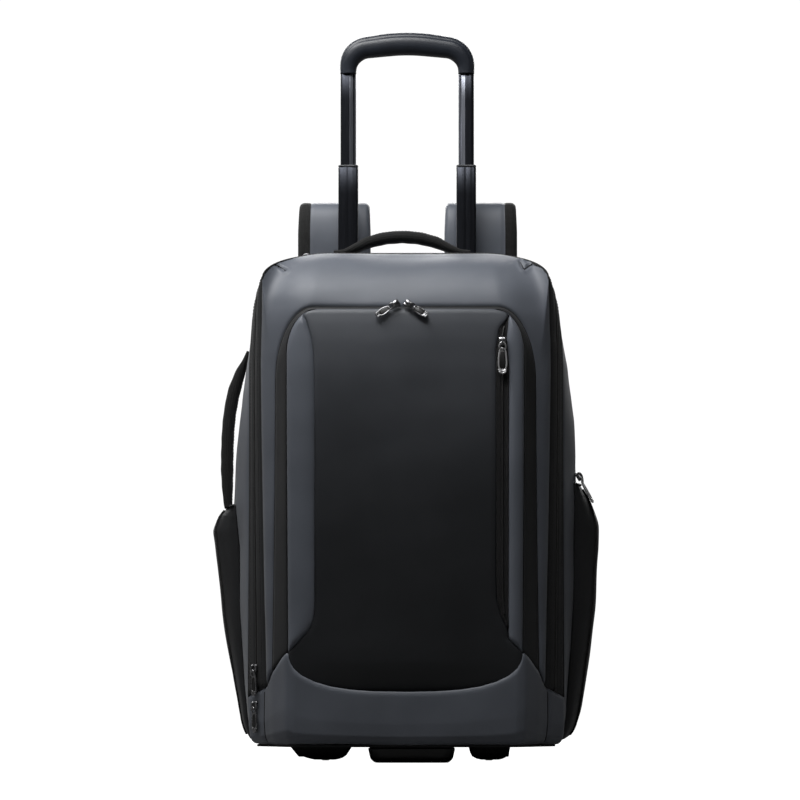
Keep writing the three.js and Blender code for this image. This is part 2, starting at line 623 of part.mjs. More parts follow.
// Shoulder strap: how far it stands behind the back panel, its height, how far it is drawn out to the side,
// and its width. Stand-off is a share of STRAP_BOW, height a share of the way from STRAP_LOW to its top.
const STRAP_LOW = 214;
const STRAP_TOP = BODY_TOP + STRAP_RISE - STRAP_THICKNESS / 2;
const STRAP_ROWS = [
  { off: 0.19, height: 0.765, out: 0, width: 0.96 },
  { off: 0.2, height: 0.86, out: 0, width: 1 },
  { off: 0.23, height: 0.93, out: 0, width: 1 },
  { off: 0.34, height: 0.98, out: 0, width: 0.98 },
  { off: 0.52, height: 1, out: 0, width: 0.97 },
  { off: 0.7, height: 0.98, out: 0, width: 0.97 },
  { off: 0.82, height: 0.93, out: 0, width: 0.97 },
  { off: 0.88, height: 0.83, out: 0.03, width: 0.96 },
  { off: 0.92, height: 0.7, out: 0.14, width: 0.93 },
  { off: 0.94, height: 0.55, out: 0.34, width: 0.9 },
  { off: 0.9, height: 0.38, out: 0.6, width: 0.86 },
  { off: 0.82, height: 0.2, out: 0.84, width: 0.8 },
  { off: 0.76, height: 0.06, out: 0.98, width: 0.7 },
  { off: 0.75, height: 0.02, out: 1, width: 0.62 },
  { off: 0.75, height: 0, out: 1, width: 0.6 },
];
const STRAP_SPREAD = 30;
function strapPoint(side, row) {
  const sign = side === 'left' ? -1 : 1;
  return vec(
    sign * (STRAP_CENTRE + row.out * STRAP_SPREAD),
    BACK_Y + row.off * STRAP_BOW,
    lerp(STRAP_LOW, STRAP_TOP, row.height),
  );
}
const BUCKLE = { width: 34, height: 16, depth: 6 };
const WEBBING_FOOT = 46;
const WEBBING_OUT = HALF_WIDTH * 0.8;
// How far the webbing has gone towards its foot, across and down, as shares
const WEBBING_ROWS = [[0, 0], [0, 0.03], [0.16, 0.25], [0.42, 0.5], [0.74, 0.75], [1, 0.92], [1, 1]];
function addShoulderStrap(side) {
  const rows = STRAP_ROWS.map((row) => ({
    point: strapPoint(side, row),
    width: row.width * STRAP_WIDTH,
    thickness: STRAP_THICKNESS,
  }));
  addMesh(`shoulder_strap_${side}`, strapGeometry(rows, vec(1, 0, 0), 0.4, 1), GREY);
  const end = strapPoint(side, STRAP_ROWS.at(-1));
  const buckle = roundedRectangle(BUCKLE.width, BUCKLE.depth, 1.5, 1);
  const low = end.z - GAP - BUCKLE.height;
  const slab = [low, low + BUCKLE.height].map((z) => buckle.map(([u, v]) => vec(end.x + u, end.y + v, z)));
  addMesh(`strap_buckle_${side}`, loftGeometry(slab), BLACK_PLASTIC);
  const footX = Math.sign(end.x) * WEBBING_OUT;
  const nearX = footX - Math.sign(footX) * WEBBING_WIDTH / 2;
  const foot = vec(footX, backFace(nearX) + GAP + WEBBING_THICKNESS / 2, WEBBING_FOOT);
  const top = vec(end.x, end.y, low - GAP);
  const webbing = WEBBING_ROWS.map(([along, down]) => {
    const point = vec(lerp(top.x, foot.x, along), lerp(top.y, foot.y, along), lerp(top.z, foot.z, down));
    return { point, width: WEBBING_WIDTH, thickness: WEBBING_THICKNESS };
  });
  addMesh(`strap_webbing_${side}`, strapGeometry(webbing, vec(1, 0, 0), 0.3, 1), BLACK_WEB);
}
SIDES.forEach(addShoulderStrap);

// Small ring on a tab at the rear edge of the top, by the left strap
const RING_OUT = HALF_WIDTH * 0.65;
const RING_SETBACK = 10;
const RING_DROP = 5.3;
function addRing() {
  const [x, y] = [-RING_OUT, BACK_Y - RING_SETBACK];
  const [outerHalf, innerHalf, bar, height] = [5.5, 3.5, 2, 7.5];
  const shape = new THREE.Shape();
  shape.moveTo(-outerHalf, 0).lineTo(outerHalf, 0).lineTo(outerHalf, height - outerHalf);
  shape.absarc(0, height - outerHalf, outerHalf, 0, Math.PI, false);
  const hole = new THREE.Path();
  hole.moveTo(-innerHalf, bar).lineTo(-innerHalf, height - outerHalf);
  hole.absarc(0, height - outerHalf, innerHalf, Math.PI, 0, true);
  hole.lineTo(innerHalf, bar);
  shape.holes.push(hole);
  const ring = new THREE.ExtrudeGeometry(shape, { depth: bar, bevelEnabled: false, curveSegments: 8 });
  const tabTop = ON_TOP - RING_DROP + CLOTH;
  ring.rotateX(Math.PI / 2).translate(x, y + bar / 2, tabTop + GAP);
  addMesh('d_ring', ring, GUNMETAL);
  addMesh('d_ring_tab', boxAt(9, 8, CLOTH, x, y, tabTop - CLOTH / 2), BLACK_WEB);
}
addRing();

// A hollow tube of rounded rectangular section, standing on `low`
function tubeGeometry({ width, depth, wall }, low, high, x) {
  const shape = new THREE.Shape(roundedRectangle(width, depth, 3.5).map(([u, v]) => new THREE.Vector2(u, v)));
  const inner = roundedRectangle(width - 2 * wall, depth - 2 * wall, 3.5 - wall / 2);
  shape.holes.push(new THREE.Path(inner.reverse().map(([u, v]) => new THREE.Vector2(u, v))));
  const geometry = new THREE.ExtrudeGeometry(shape, { depth: high - low, bevelEnabled: false });
  return geometry.translate(x, TUBE_Y, low);
}

const BEZEL_TOP = BODY_TOP + BEZEL_HEIGHT;
function addTubes(side) {
  const x = tubeX[side];
  const outerTop = BODY_TOP - 4;
  const bezel = {
    width: MIDDLE_TUBE.width + 2 * (GAP + BEZEL_RIM + 2),
    depth: MIDDLE_TUBE.depth + 2 * (GAP + BEZEL_RIM + 2),
    wall: BEZEL_RIM + 2,
  };
  const collar = {
    width: MIDDLE_TUBE.width,
    depth: MIDDLE_TUBE.depth,
    wall: COLLAR_WALL,
  };
  addMesh(`outer_tube_${side}`, tubeGeometry(OUTER_TUBE, HOUSING_TOP + GAP, outerTop, x), TUBE_METAL);
  addMesh(`handle_bezel_${side}`, tubeGeometry(bezel, ON_TOP, BEZEL_TOP + 1, x), BLACK_PLASTIC);
  addMesh(`middle_tube_${side}`, tubeGeometry(MIDDLE_TUBE, MIDDLE_TOP - MIDDLE_LENGTH, MIDDLE_TOP, x), TUBE_METAL);
  addMesh(`middle_collar_${side}`, tubeGeometry(collar, MIDDLE_TOP + GAP, MIDDLE_TOP + GAP + COLLAR_HEIGHT, x), TUBE_METAL);
  addMesh(`upper_tube_${side}`, tubeGeometry(UPPER_TUBE, UPPER_TOP - UPPER_LENGTH, UPPER_TOP, x), TUBE_METAL);
}
SIDES.forEach(addTubes);

// Soft-faced grip: two legs, two bends and a fuller bar
const GRIP_LEG = 16.6;
const GRIP_BEND = 22;
function addGrip() {
  const half = TUBE_SPACING / 2;
  const low = UPPER_TOP + GAP;
  const shoulder = GRIP_TOP - GRIP_ARCH - GRIP_BAR / 2;
  const bend = Array.from({ length: 5 }, (_, k) => {
    const angle = (k / 4) * Math.PI / 2;
    return [half - GRIP_BEND + GRIP_BEND * Math.cos(angle), shoulder - GRIP_BEND + GRIP_BEND * Math.sin(angle), (k / 4) * 0.8];
  });
  const right = [[half, low, 0], ...bend, [half * 0.36, shoulder + GRIP_ARCH * 0.75, 1]];
  const middle = [0, shoulder + GRIP_ARCH, 1];
  const path = [...right, middle, ...right.slice().reverse().map(([x, z, full]) => [-x, z, full])];
  const rows = path.map(([x, z, full]) => ({
    point: vec(x, TUBE_Y, z),
    width: lerp(GRIP_LEG + 1, GRIP_DEPTH, full),
    thickness: lerp(GRIP_LEG, GRIP_BAR, full),
  }));
  addMesh('grip', strapGeometry(rows, vec(0, 1, 0), 0.42, 2), GRIP_PLASTIC);
}
addGrip();

// Wheel housing: two cheeks and an arch over the wheel, open below and behind
const HOUSING_LOW = 4;
function cylinderX(radius, length, x, y, z, sides = 20) {
  return new THREE.CylinderGeometry(radius, radius, length, sides).rotateZ(Math.PI / 2).translate(x, y, z);
}
function addHousing(side) {
  const x = wheelX[side];
  const sign = Math.sign(x);
  const rear = BACK_Y + 1;
  const block = (z, half, tuck) => [
    vec(x - half, HOUSING_FRONT + tuck, z),
    vec(x + half, HOUSING_FRONT + tuck, z),
    vec(x + half, rear, z),
    vec(x - half, rear, z),
  ];
  const half = HOUSING_WIDTH / 2;
  let solid = solidOf(loftGeometry([
    block(HOUSING_LOW, half - 2, 16),
    block(BASE_LOW - GAP, half, 4),
    block(WHEEL_RADIUS + 14, half, 0),
    block(HOUSING_TOP, half, 14),
  ]));
  const reach = CHEEK[side];
  const cheek = (z, outward) => [
    vec(x, HOUSING_FRONT + 10, z),
    vec(x + sign * (half + outward), HOUSING_FRONT + 14, z),
    vec(x + sign * (half + outward), rear - 16, z),
    vec(x, rear - 4, z),
  ];
  solid = solid.add(solidOf(loftGeometry([cheek(HOUSING_LOW, reach * 0.45), cheek(BASE_LOW - GAP, reach)])));
  solid = solid.subtract(solidOf(cylinderX(WHEEL_RADIUS + HOUSING_CLEARANCE, CAVITY_WIDTH, x, WHEEL_Y, WHEEL_RADIUS)));
  const mouth = WHEEL_RADIUS + HOUSING_CLEARANCE;
  solid = solid.subtract(solidOf(boxAt(CAVITY_WIDTH, 2 * mouth, WHEEL_RADIUS, x, WHEEL_Y, WHEEL_RADIUS / 2)));
  solid = solid.subtract(solidOf(boxAt(CAVITY_WIDTH, 40, WHEEL_RADIUS + 16, x, WHEEL_Y + 20, (WHEEL_RADIUS + 16) / 2)));
  addMesh(`wheel_housing_${side}`, geometryOf(solid), BLACK_PLASTIC);
}

function turnedX(profile, x, y, z, sides) {
  const points = profile.map(([radius, along]) => new THREE.Vector2(radius, along)).reverse();
  return new THREE.LatheGeometry([...points, points[0]], sides).rotateZ(Math.PI / 2).translate(x, y, z);
}

function addWheel(side) {
  const x = wheelX[side];
  const rim = WHEEL_RADIUS - TYRE_DEPTH;
  const half = TYRE_WIDTH / 2;
  const bore = AXLE_RADIUS + AXLE_CLEARANCE;
  const tyre = [[rim, -half], [rim, half], [rim + 4, half], [WHEEL_RADIUS - 1.6, half - 3.4], [WHEEL_RADIUS, half - 6],
    [WHEEL_RADIUS, 6 - half], [WHEEL_RADIUS - 1.6, 3.4 - half], [rim + 4, -half]];
  const hub = [[bore, -half + 1], [bore, half - 1], [bore + 5, half - 1], [bore + 8, half - 4], [rim - 4, half - 4],
    [rim - GAP, half - 1], [rim - GAP, 1 - half], [rim - 4, 4 - half], [bore + 8, 4 - half], [bore + 5, 1 - half]];
  addMesh(`wheel_tyre_${side}`, turnedX(tyre, x, WHEEL_Y, WHEEL_RADIUS, 24), RUBBER);
  addMesh(`wheel_hub_${side}`, turnedX(hub, x, WHEEL_Y, WHEEL_RADIUS, 16), BLACK_PLASTIC);
  const length = CAVITY_WIDTH - 2 * GAP;
  addMesh(`wheel_axle_${side}`, cylinderX(AXLE_RADIUS, length, x, WHEEL_Y, WHEEL_RADIUS, 12), GUNMETAL);
}
SIDES.forEach(addHousing);
SIDES.forEach(addWheel);

// Foot under the front, flat below, that stands the bag level with its wheels
function addFoot() {
  const y = FRONT_Y + FOOT_SETBACK;
  const section = (z, width, depth) => roundedRectangle(width, depth, 10, 2).map(([u, v]) => vec(6 + u, y + v, z));
  addMesh('stand_foot', loftGeometry([
    section(0, FOOT_WIDTH - 14, FOOT_DEPTH - 12),
    section(4, FOOT_WIDTH - 5, FOOT_DEPTH - 4),
    section(BASE_LOW - GAP, FOOT_WIDTH, FOOT_DEPTH),
  ]), BLACK_PLASTIC);
}
addFoot();

// A zip pull: a slider on the cloth and a looped puller that lies on it. `out` leaves the cloth,
// `along` is the way that the puller hangs.
function addZipPull(name, place, out, along) {
  const normal = out.clone().normalize();
  const down = along.clone().addScaledVector(normal, -along.dot(normal)).normalize();
  const across = down.clone().cross(normal).normalize();
  const basis = new THREE.Matrix4().makeBasis(across, down, normal).setPosition(place);
  const body = roundedRectangle(SLIDER.width, SLIDER.length, 2, 2);
  const layer = (z, share) => body.map(([u, v]) => vec(u * share, v * share, z));
  const slider = loftGeometry([layer(0, 1), layer(SLIDER.height * 0.6, 1), layer(SLIDER.height, 0.7)]);
  addMesh(`${name}_slider`, slider.applyMatrix4(basis), GUNMETAL);
  const outline = roundedRectangle(PULLER.width, PULLER.length, PULLER.width / 2, 3);
  const opening = roundedRectangle(PULLER.width - 2 * PULLER.ring, PULLER.length - 2 * PULLER.ring, 2, 2).reverse();
  const shape = new THREE.Shape(outline.map(([u, v]) => new THREE.Vector2(u, v)));
  shape.holes.push(new THREE.Path(opening.map(([u, v]) => new THREE.Vector2(u, v))));
  const puller = new THREE.ExtrudeGeometry(shape, { depth: PULLER.thickness, bevelEnabled: false });
  puller.translate(0, SLIDER.length / 2 + PULLER.length / 2 + GAP, 1);
  addMesh(`${name}_puller`, puller.applyMatrix4(basis), GUNMETAL);
}

const PULL_OFF = { top: 0.15, front: 1, upper: 1.3, lower: 0.6, side: 2 };
function addZipPulls() {
  const topZ = SEAMS.pocketEdge.top * BODY_TOP;
  for (const [name, x, way] of [['top_zip_left', -10, -1], ['top_zip_right', 3, 1]]) {
    const place = pocketFace(x, topZ).add(vec(0, -PULL_OFF.top, 1));
    addZipPull(name, place, vec(0, -1, 0.32), vec(way, 0, -0.35));
  }
  const tapeX = (FACE_EDGES.rightPanel[4][1] + FACE_EDGES.rightInset[4][1]) / 2 * HALF_WIDTH;
  const tape = pocketFace(tapeX, 0.815 * BODY_TOP);
  addZipPull('front_zip', tape.add(vec(0, -PULL_OFF.front, 0)), vec(0, -1, 0.1), vec(0, 0, -1));
  const gussetX = (SEAMS.frameEdge.foot + SEAMS.gussetEdge.foot) / 2 * -HALF_WIDTH;
  const gussetY = depthY((SEAMS.frameEdge.ySide + SEAMS.gussetEdge.ySide) / 2);
  const sideways = vec(-0.82, -0.57, 0);
  [['upper', 0.182], ['lower', 0.11]].forEach(([which, height]) => {
    const place = vec(gussetX, gussetY, height * BODY_TOP).addScaledVector(sideways, PULL_OFF[which]);
    addZipPull(`main_zip_${which}`, place, sideways, vec(0, 0, -1));
  });
  const side = outFromSide('right', 0.34, SIDE_POCKET_TOP.right + 5, PULL_OFF.side);
  addZipPull('side_zip', side, vec(1, -0.25, 0.55), vec(0.5, 0, -1));
}
addZipPulls();

export default root;
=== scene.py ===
"""Looks for a wheeled backpack: cloth bands between seams, zips, straps, handles, wheels, light and camera.

Lengths are in millimetres and become metres when a mesh is made. +Z is up and the bag's front faces -Y.
"""

import math

import bmesh
import bpy
import numpy as np
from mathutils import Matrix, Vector


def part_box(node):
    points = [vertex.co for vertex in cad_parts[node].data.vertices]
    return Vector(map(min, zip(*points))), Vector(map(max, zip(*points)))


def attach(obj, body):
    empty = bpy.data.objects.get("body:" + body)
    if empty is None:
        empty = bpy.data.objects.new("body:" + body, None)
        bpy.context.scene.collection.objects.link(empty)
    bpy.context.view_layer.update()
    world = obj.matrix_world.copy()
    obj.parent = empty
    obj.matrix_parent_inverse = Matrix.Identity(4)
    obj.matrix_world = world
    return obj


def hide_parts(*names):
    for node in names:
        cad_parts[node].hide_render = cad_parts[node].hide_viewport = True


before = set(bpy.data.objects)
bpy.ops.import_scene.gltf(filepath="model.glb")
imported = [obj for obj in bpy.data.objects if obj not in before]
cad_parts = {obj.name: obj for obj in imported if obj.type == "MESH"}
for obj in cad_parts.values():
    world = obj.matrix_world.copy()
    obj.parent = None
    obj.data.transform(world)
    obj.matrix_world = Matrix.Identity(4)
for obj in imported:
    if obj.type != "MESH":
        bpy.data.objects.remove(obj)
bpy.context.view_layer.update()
MM = 0.001

# Driving sizes of the bag body
BODY_WIDTH = 320.0
BODY_TOP = 518.0
BODY_BOTTOM = 18.0
BODY_DEPTH = 200.0
FRONT_Y = -122.5
CLOTH = 2.0
HALF_WIDTH = BODY_WIDTH / 2
BACK_Y = FRONT_Y + BODY_DEPTH
POCKET_CROWN = 7.0

# Pull handle, wheels and foot
TUBE_X = 61.0
TUBE_Y = 60.5
WHEEL_X = 84.0
WHEEL_Y = 53.5
WHEEL_RADIUS = 31.0
TYRE_WIDTH = 27.0
TYRE_DEPTH = 9.0
HOUSING_HALF = 19.5
HOUSING_FRONT = 16.5
HOUSING_TOP = 68.0
CUT_GAP = 0.3
OUTER_TUBE = (25.0, 21.0)
MIDDLE_TUBE = (20.4, 16.4)
UPPER_TUBE = (16.0, 12.0)
BEZEL = (33.0, 29.0)
SIDES = (("left", -1), ("right", 1))

# Cloth relief
SEAM_ROLL = 1.5
SEAM_REACH = 2.2
COIL_PITCH = 1.7
STITCH_PITCH = 3.4
STITCH_LENGTH = 2.5
STITCH_RADIUS = 0.32
SIDE_STEPS = 90
CORNER_STEPS = 48
TOP_STEPS = 40


def lerp(a, b, t):
    return a + (b - a) * t


def smooth(low, high, value):
    t = np.clip((value - low) / (high - low), 0, 1)
    return t * t * (3 - 2 * t)


def table(rows, at, blur=0.025):
    """Reads a table of (place, value) rows, with its corners rounded over the share `blur` of its length."""
    places, values = np.array(rows, float).T
    count = 801
    samples = np.linspace(places[0], places[-1], count)
    line = np.interp(samples, places, values)
    half = max(int(count * blur), 1)
    window = np.hanning(2 * half + 3)[1:-1]
    padded = np.concatenate([
        2 * line[0] - line[half:0:-1],
        line,
        2 * line[-1] - line[-2:-half - 2:-1],
    ])
    return np.interp(at, samples, np.convolve(padded, window / window.sum(), "valid"))


def depth_y(share):
    return FRONT_Y + share * BODY_DEPTH


# Box inside the bag that the cloth's thickness points at, so that walls turn smoothly round the corners
CORE_LOW = np.array([-HALF_WIDTH * 0.62, FRONT_Y + BODY_DEPTH * 0.36, BODY_BOTTOM + 42])
CORE_HIGH = np.array([HALF_WIDTH * 0.62, BACK_Y - 60, BODY_TOP - 58])


def inward(points):
    step = np.clip(points, CORE_LOW, CORE_HIGH) - points
    return step / np.linalg.norm(step, axis=-1, keepdims=True)


def waves(points, length, seed, stretch=(1, 1, 1), count=7):
    """Smooth random relief between about -1 and 1, from a few plane waves of the given length."""
    rng = np.random.default_rng(seed)
    total = np.zeros(points.shape[:-1])
    for _ in range(count):
        way = rng.normal(size=3)
        way = way / np.linalg.norm(way) * np.array(stretch) / (length * rng.uniform(0.7, 1.4))
        total += np.sin(points @ way * 2 * math.pi + rng.uniform(0, 2 * math.pi))
    return total / math.sqrt(count)


# Material helpers

# Curve of the painted sheen that lightens a cloth's colour towards its top
PAINTED_SHEEN_POWER = 2.2


class Nodes:
    """Short calls for building one material's node tree."""

    def __init__(self, name, color, roughness, metallic=0.0, specular=0.5):
        self.material = bpy.data.materials.new(name)
        self.material.use_nodes = True
        self.tree = self.material.node_tree
        self.shader = self.tree.nodes["Principled BSDF"]
        self.material.diffuse_color = (*color, 1)
        self.shader.inputs["Base Color"].default_value = (*color, 1)
        self.shader.inputs["Roughness"].default_value = roughness
        self.shader.inputs["Metallic"].default_value = metallic
        self.shader.inputs["Specular IOR Level"].default_value = specular
        self.color = color
        self.roughness = roughness
        self.height = None

    def node(self, kind, **values):
        made = self.tree.nodes.new(kind)
        for key, value in values.items():
            setattr(made, key, value)
        return made

    def link(self, a, b):
        self.tree.links.new(a, b)

    def math(self, operation, a, b=0.0):
        made = self.node("ShaderNodeMath", operation=operation)
        for socket, value in zip(made.inputs, (a, b)):
            if isinstance(value, (int, float)):
                socket.default_value = value
            else:
                self.link(value, socket)
        return made.outputs[0]

    def noise(self, scale, detail=3.0, stretch=(1, 1, 1)):
        """Noise over the object's own space, with scale in waves a metre."""
        place = self.node("ShaderNodeTexCoord").outputs["Object"]
        mapping = self.node("ShaderNodeMapping")
        mapping.inputs["Scale"].default_value = stretch
        self.link(place, mapping.inputs["Vector"])
        made = self.node("ShaderNodeTexNoise")
        made.inputs["Scale"].default_value = scale
        made.inputs["Detail"].default_value = detail
        self.link(mapping.outputs[0], made.inputs["Vector"])
        return made.outputs["Fac"]

    def weave(self, pitch, across=1.0):
        """Plain weave from the mesh's own lengths: crossed threads `pitch` metres apart."""
        flat = self.node("ShaderNodeUVMap", uv_map="lengths").outputs[0]
        parts = self.node("ShaderNodeSeparateXYZ")
        self.link(flat, parts.inputs[0])
        turn = math.pi / pitch
        a = self.math("SINE", self.math("MULTIPLY", parts.outputs[0], turn * across))
        b = self.math("SINE", self.math("MULTIPLY", parts.outputs[1], turn))
        return self.math("ABSOLUTE", self.math("MULTIPLY", a, b))

    def vary_color(self, factor, spread):
        """Colour between darker and lighter shades of the base, by a 0 to 1 factor."""
        ramp = self.node("ShaderNodeValToRGB")
        dark = [c * (1 - spread) for c in self.color]
        light = [min(c * (1 + spread), 1) for c in self.color]
        ramp.color_ramp.elements[0].position = 0.3
        ramp.color_ramp.elements[1].position = 0.7
        ramp.color_ramp.elements[0].color = (*dark, 1)
        ramp.color_ramp.elements[1].color = (*light, 1)
        self.link(factor, ramp.inputs[0])
        self.link(ramp.outputs[0], self.shader.inputs["Base Color"])

    def paint_sheen_upwards(self, low, high, gain):
        """Painted sheen: lightens the colour smoothly from a height of low to a height of high, in metres, in
        place of the light from above.
        """
        place = self.node("ShaderNodeTexCoord").outputs["Object"]
        parts = self.node("ShaderNodeSeparateXYZ")
        self.link(place, parts.inputs[0])
        above = self.math("SUBTRACT", parts.outputs[2], low)
        rise = self.math("MAXIMUM", self.math("MULTIPLY", above, 1 / (high - low)), 0.0)
        rise = self.math("POWER", self.math("MINIMUM", rise, 1.0), PAINTED_SHEEN_POWER)
        strength = self.math("ADD", self.math("MULTIPLY", rise, gain - 1), 1.0)
        scale = self.node("ShaderNodeVectorMath", operation="SCALE")
        base = self.shader.inputs["Base Color"]
        self.link(base.links[0].from_socket, scale.inputs[0])
        self.link(strength, scale.inputs["Scale"])
        self.link(scale.outputs[0], base)

    def vary_roughness(self, factor, spread):
        low = self.math("MULTIPLY", factor, 2 * spread)
        self.link(self.math("ADD", low, self.roughness - spread), self.shader.inputs["Roughness"])

    def bump(self, height, distance, strength=1.0):
        made = self.node("ShaderNodeBump")
        made.inputs["Distance"].default_value = distance
        made.inputs["Strength"].default_value = strength
        self.link(height, made.inputs["Height"])
        if self.height is not None:
            self.link(self.height, made.inputs["Normal"])
        self.height = made.outputs[0]
        self.link(self.height, self.shader.inputs["Normal"])


def cloth_material(name, color, roughness, sheen=0.1, specular=0.35, fade=None):
    """Coated woven cloth: fine threads under a satin coat, with soft variation of tone and gloss. fade, when
    given, paints the colour lighter towards the top as a painted sheen.
    """
    made = Nodes(name, color, roughness, specular=specular)
    made.shader.inputs["Sheen Weight"].default_value = sheen
    made.shader.inputs["Sheen Roughness"].default_value = 0.45
    made.vary_color(made.noise(14, 4), 0.1)
    # Painted sheen: the colour gets lighter upwards, in place of the light from above
    if fade:
        made.paint_sheen_upwards(*fade)
    made.vary_roughness(made.noise(60, 3), 0.05)
    made.bump(made.noise(24, 3), 0.0012, 0.35)
    made.bump(made.noise(900, 2), 0.0001, 0.25)
    made.bump(made.weave(0.0006), 0.00012, 0.25)
    return made.material


def webbing_material(name, color, pitch=0.0016):
    """Ribbed woven tape with matte threads."""
    made = Nodes(name, color, 0.82, specular=0.25)
    made.shader.inputs["Sheen Weight"].default_value = 0.08
    made.shader.inputs["Sheen Roughness"].default_value = 0.5
    made.vary_color(made.noise(300, 2), 0.25)
    made.bump(made.weave(pitch, 0.7), 0.0004, 0.7)
    made.bump(made.noise(1500, 2), 0.0001, 0.4)
    return made.material


def plastic_material(name, color, roughness, grain=1400, depth=0.00006):
    """Moulded plastic with a fine spark-eroded grain and faint handling marks."""
    made = Nodes(name, color, roughness, specular=0.45)
    made.vary_color(made.noise(40, 3), 0.12)
    made.vary_roughness(made.noise(90, 4), 0.06)
    made.bump(made.noise(grain, 2), depth, 0.5)
    return made.material


def metal_material(name, color, roughness, stretch=(1, 1, 1), scale=500, metallic=1.0):
    """Metal with fine marks; `stretch` draws them out along one way."""
    made = Nodes(name, color, roughness, metallic=metallic)
    made.vary_color(made.noise(scale * 0.3, 3, stretch), 0.15)
    made.vary_roughness(made.noise(scale, 3, stretch), 0.06)
    made.bump(made.noise(scale, 2, stretch), 0.00005, 0.15)
    return made.material


def mesh_material(name, color):
    """Open spacer mesh for the padded back: rows of small round holes over foam."""
    made = Nodes(name, color, 0.85, specular=0.2)
    made.shader.inputs["Sheen Weight"].default_value = 0.3
    made.vary_color(made.noise(120, 2), 0.2)
    made.bump(made.weave(0.0026), 0.0009, 0.9)
    return made.material


LOOKS = {
    "grey": cloth_material("grey_coated_cloth", (0.082, 0.0905, 0.108), 0.5),
    # The black panel's colour is painted lighter towards its top, a painted sheen of the light from above
    "panel": cloth_material("black_coated_cloth_painted_sheen", (0.0125, 0.0135, 0.0155), 0.46, specular=0.3, sheen=0.03,
                            fade=(0.14, 0.46, 4.8)),
    "gusset": cloth_material("black_gusset_cloth", (0.014, 0.0145, 0.0155), 0.6, specular=0.25, sheen=0.05),
    "pocket": cloth_material("black_side_cloth", (0.0125, 0.013, 0.0145), 0.5, specular=0.3, sheen=0.05),
    "mesh": mesh_material("spacer_mesh", (0.016, 0.0165, 0.018)),
    "webbing": webbing_material("black_webbing", (0.0055, 0.0055, 0.0055)),
    "tape": webbing_material("zip_tape", (0.008, 0.008, 0.0085), 0.0011),
    "binding": webbing_material("black_binding", (0.0075, 0.0075, 0.0075), 0.0012),
    "coil": plastic_material("zip_coil_nylon", (0.007, 0.007, 0.007), 0.42),
    "thread": webbing_material("sewing_thread", (0.012, 0.012, 0.013), 0.0005),
    "plastic": plastic_material("black_moulded_plastic", (0.0035, 0.0035, 0.0037), 0.42),
    "grip": plastic_material("soft_touch_grip", (0.009, 0.0115, 0.017), 0.45, depth=0.00004),
    "tube": metal_material("dark_anodised_tube", (0.028, 0.030, 0.036), 0.42, (30, 30, 1), 160),
    "facet": metal_material("lighter_tube_facet", (0.2, 0.21, 0.24), 0.45, (30, 30, 1), 160),
    "collar": plastic_material("handle_collar_plastic", (0.05, 0.052, 0.056), 0.35),
    "gunmetal": metal_material("polished_gunmetal", (0.2, 0.2, 0.205), 0.28),
    "silver": metal_material("satin_zip_metal", (0.34, 0.34, 0.345), 0.35, metallic=0.5),
    "steel": metal_material("axle_steel", (0.42, 0.42, 0.43), 0.35),
    "tyre": plastic_material("wheel_polyurethane", (0.010, 0.010, 0.010), 0.62, 700, 0.00012),
}


# Mesh helpers

def make_object(name, points, faces, look, body="bag", nodes=(), lengths=None, parts=None, flat=False):
    """A mesh piece in millimetres that rides on a body. parts gives each face's own look by number."""
    mesh = bpy.data.meshes.new(name)
    mesh.from_pydata((np.asarray(points, float) * MM).tolist(), [], faces)
    mesh.update()
    looks = [look] if isinstance(look, str) else list(look)
    for each in looks:
        mesh.materials.append(LOOKS[each])
    if parts is not None:
        mesh.polygons.foreach_set("material_index", np.asarray(parts, np.int32))
    if not flat:
        mesh.polygons.foreach_set("use_smooth", np.ones(len(mesh.polygons), bool))
    if lengths is not None:
        layer = mesh.uv_layers.new(name="lengths")
        loops = np.zeros(len(mesh.loops), np.int32)
        mesh.loops.foreach_get("vertex_index", loops)
        layer.data.foreach_set("uv", (np.asarray(lengths, float)[loops] * MM).ravel())
    made = bpy.data.objects.new(name, mesh)
    bpy.context.scene.collection.objects.link(made)
    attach(made, body)
    if nodes:
        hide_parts(*nodes)
    return made


def gone_along(path):
    """Distance from the start of a path at each of its points."""
    return np.concatenate([[0], np.cumsum(np.linalg.norm(np.diff(path, axis=0), axis=1))])


def rim_of(grid):
    """The border points of a grid in turn, each once."""
    return np.concatenate([grid[0, :-1], grid[:-1, -1], grid[-1, :0:-1], grid[:0:-1, 0]])


def run_lengths(grid):
    """Distance along the rows and along the columns at each point of a grid."""
    across = np.zeros(grid.shape[:2])
    along = np.zeros(grid.shape[:2])
    across[:, 1:] = np.cumsum(np.linalg.norm(np.diff(grid, axis=1), axis=2), axis=1)
    along[1:] = np.cumsum(np.linalg.norm(np.diff(grid, axis=0), axis=2), axis=0)
    return across, along


def rolled(grid, edges=(1, 1, 1, 1), depth=SEAM_ROLL, reach=SEAM_REACH):
    """Turns a cloth grid in at its seams. edges says how much at the first column, last column,
    first row and last row."""
    across, along = run_lengths(grid)
    gaps = [across, across[:, -1:] - across, along, along[-1:] - along]
    total = np.zeros(grid.shape[:2])
    for share, gap in zip(edges, gaps):
        total = np.maximum(total, share * depth * np.exp(-(gap / reach) ** 1.5))
    return grid + inward(grid) * total[..., None]


def grid_faces(rows, columns, offset=0, flip=False):
    at = np.arange(rows * columns).reshape(rows, columns) + offset
    quads = np.stack([at[:-1, :-1], at[:-1, 1:], at[1:, 1:], at[1:, :-1]], axis=-1).reshape(-1, 4)
    return quads[:, ::-1] if flip else quads


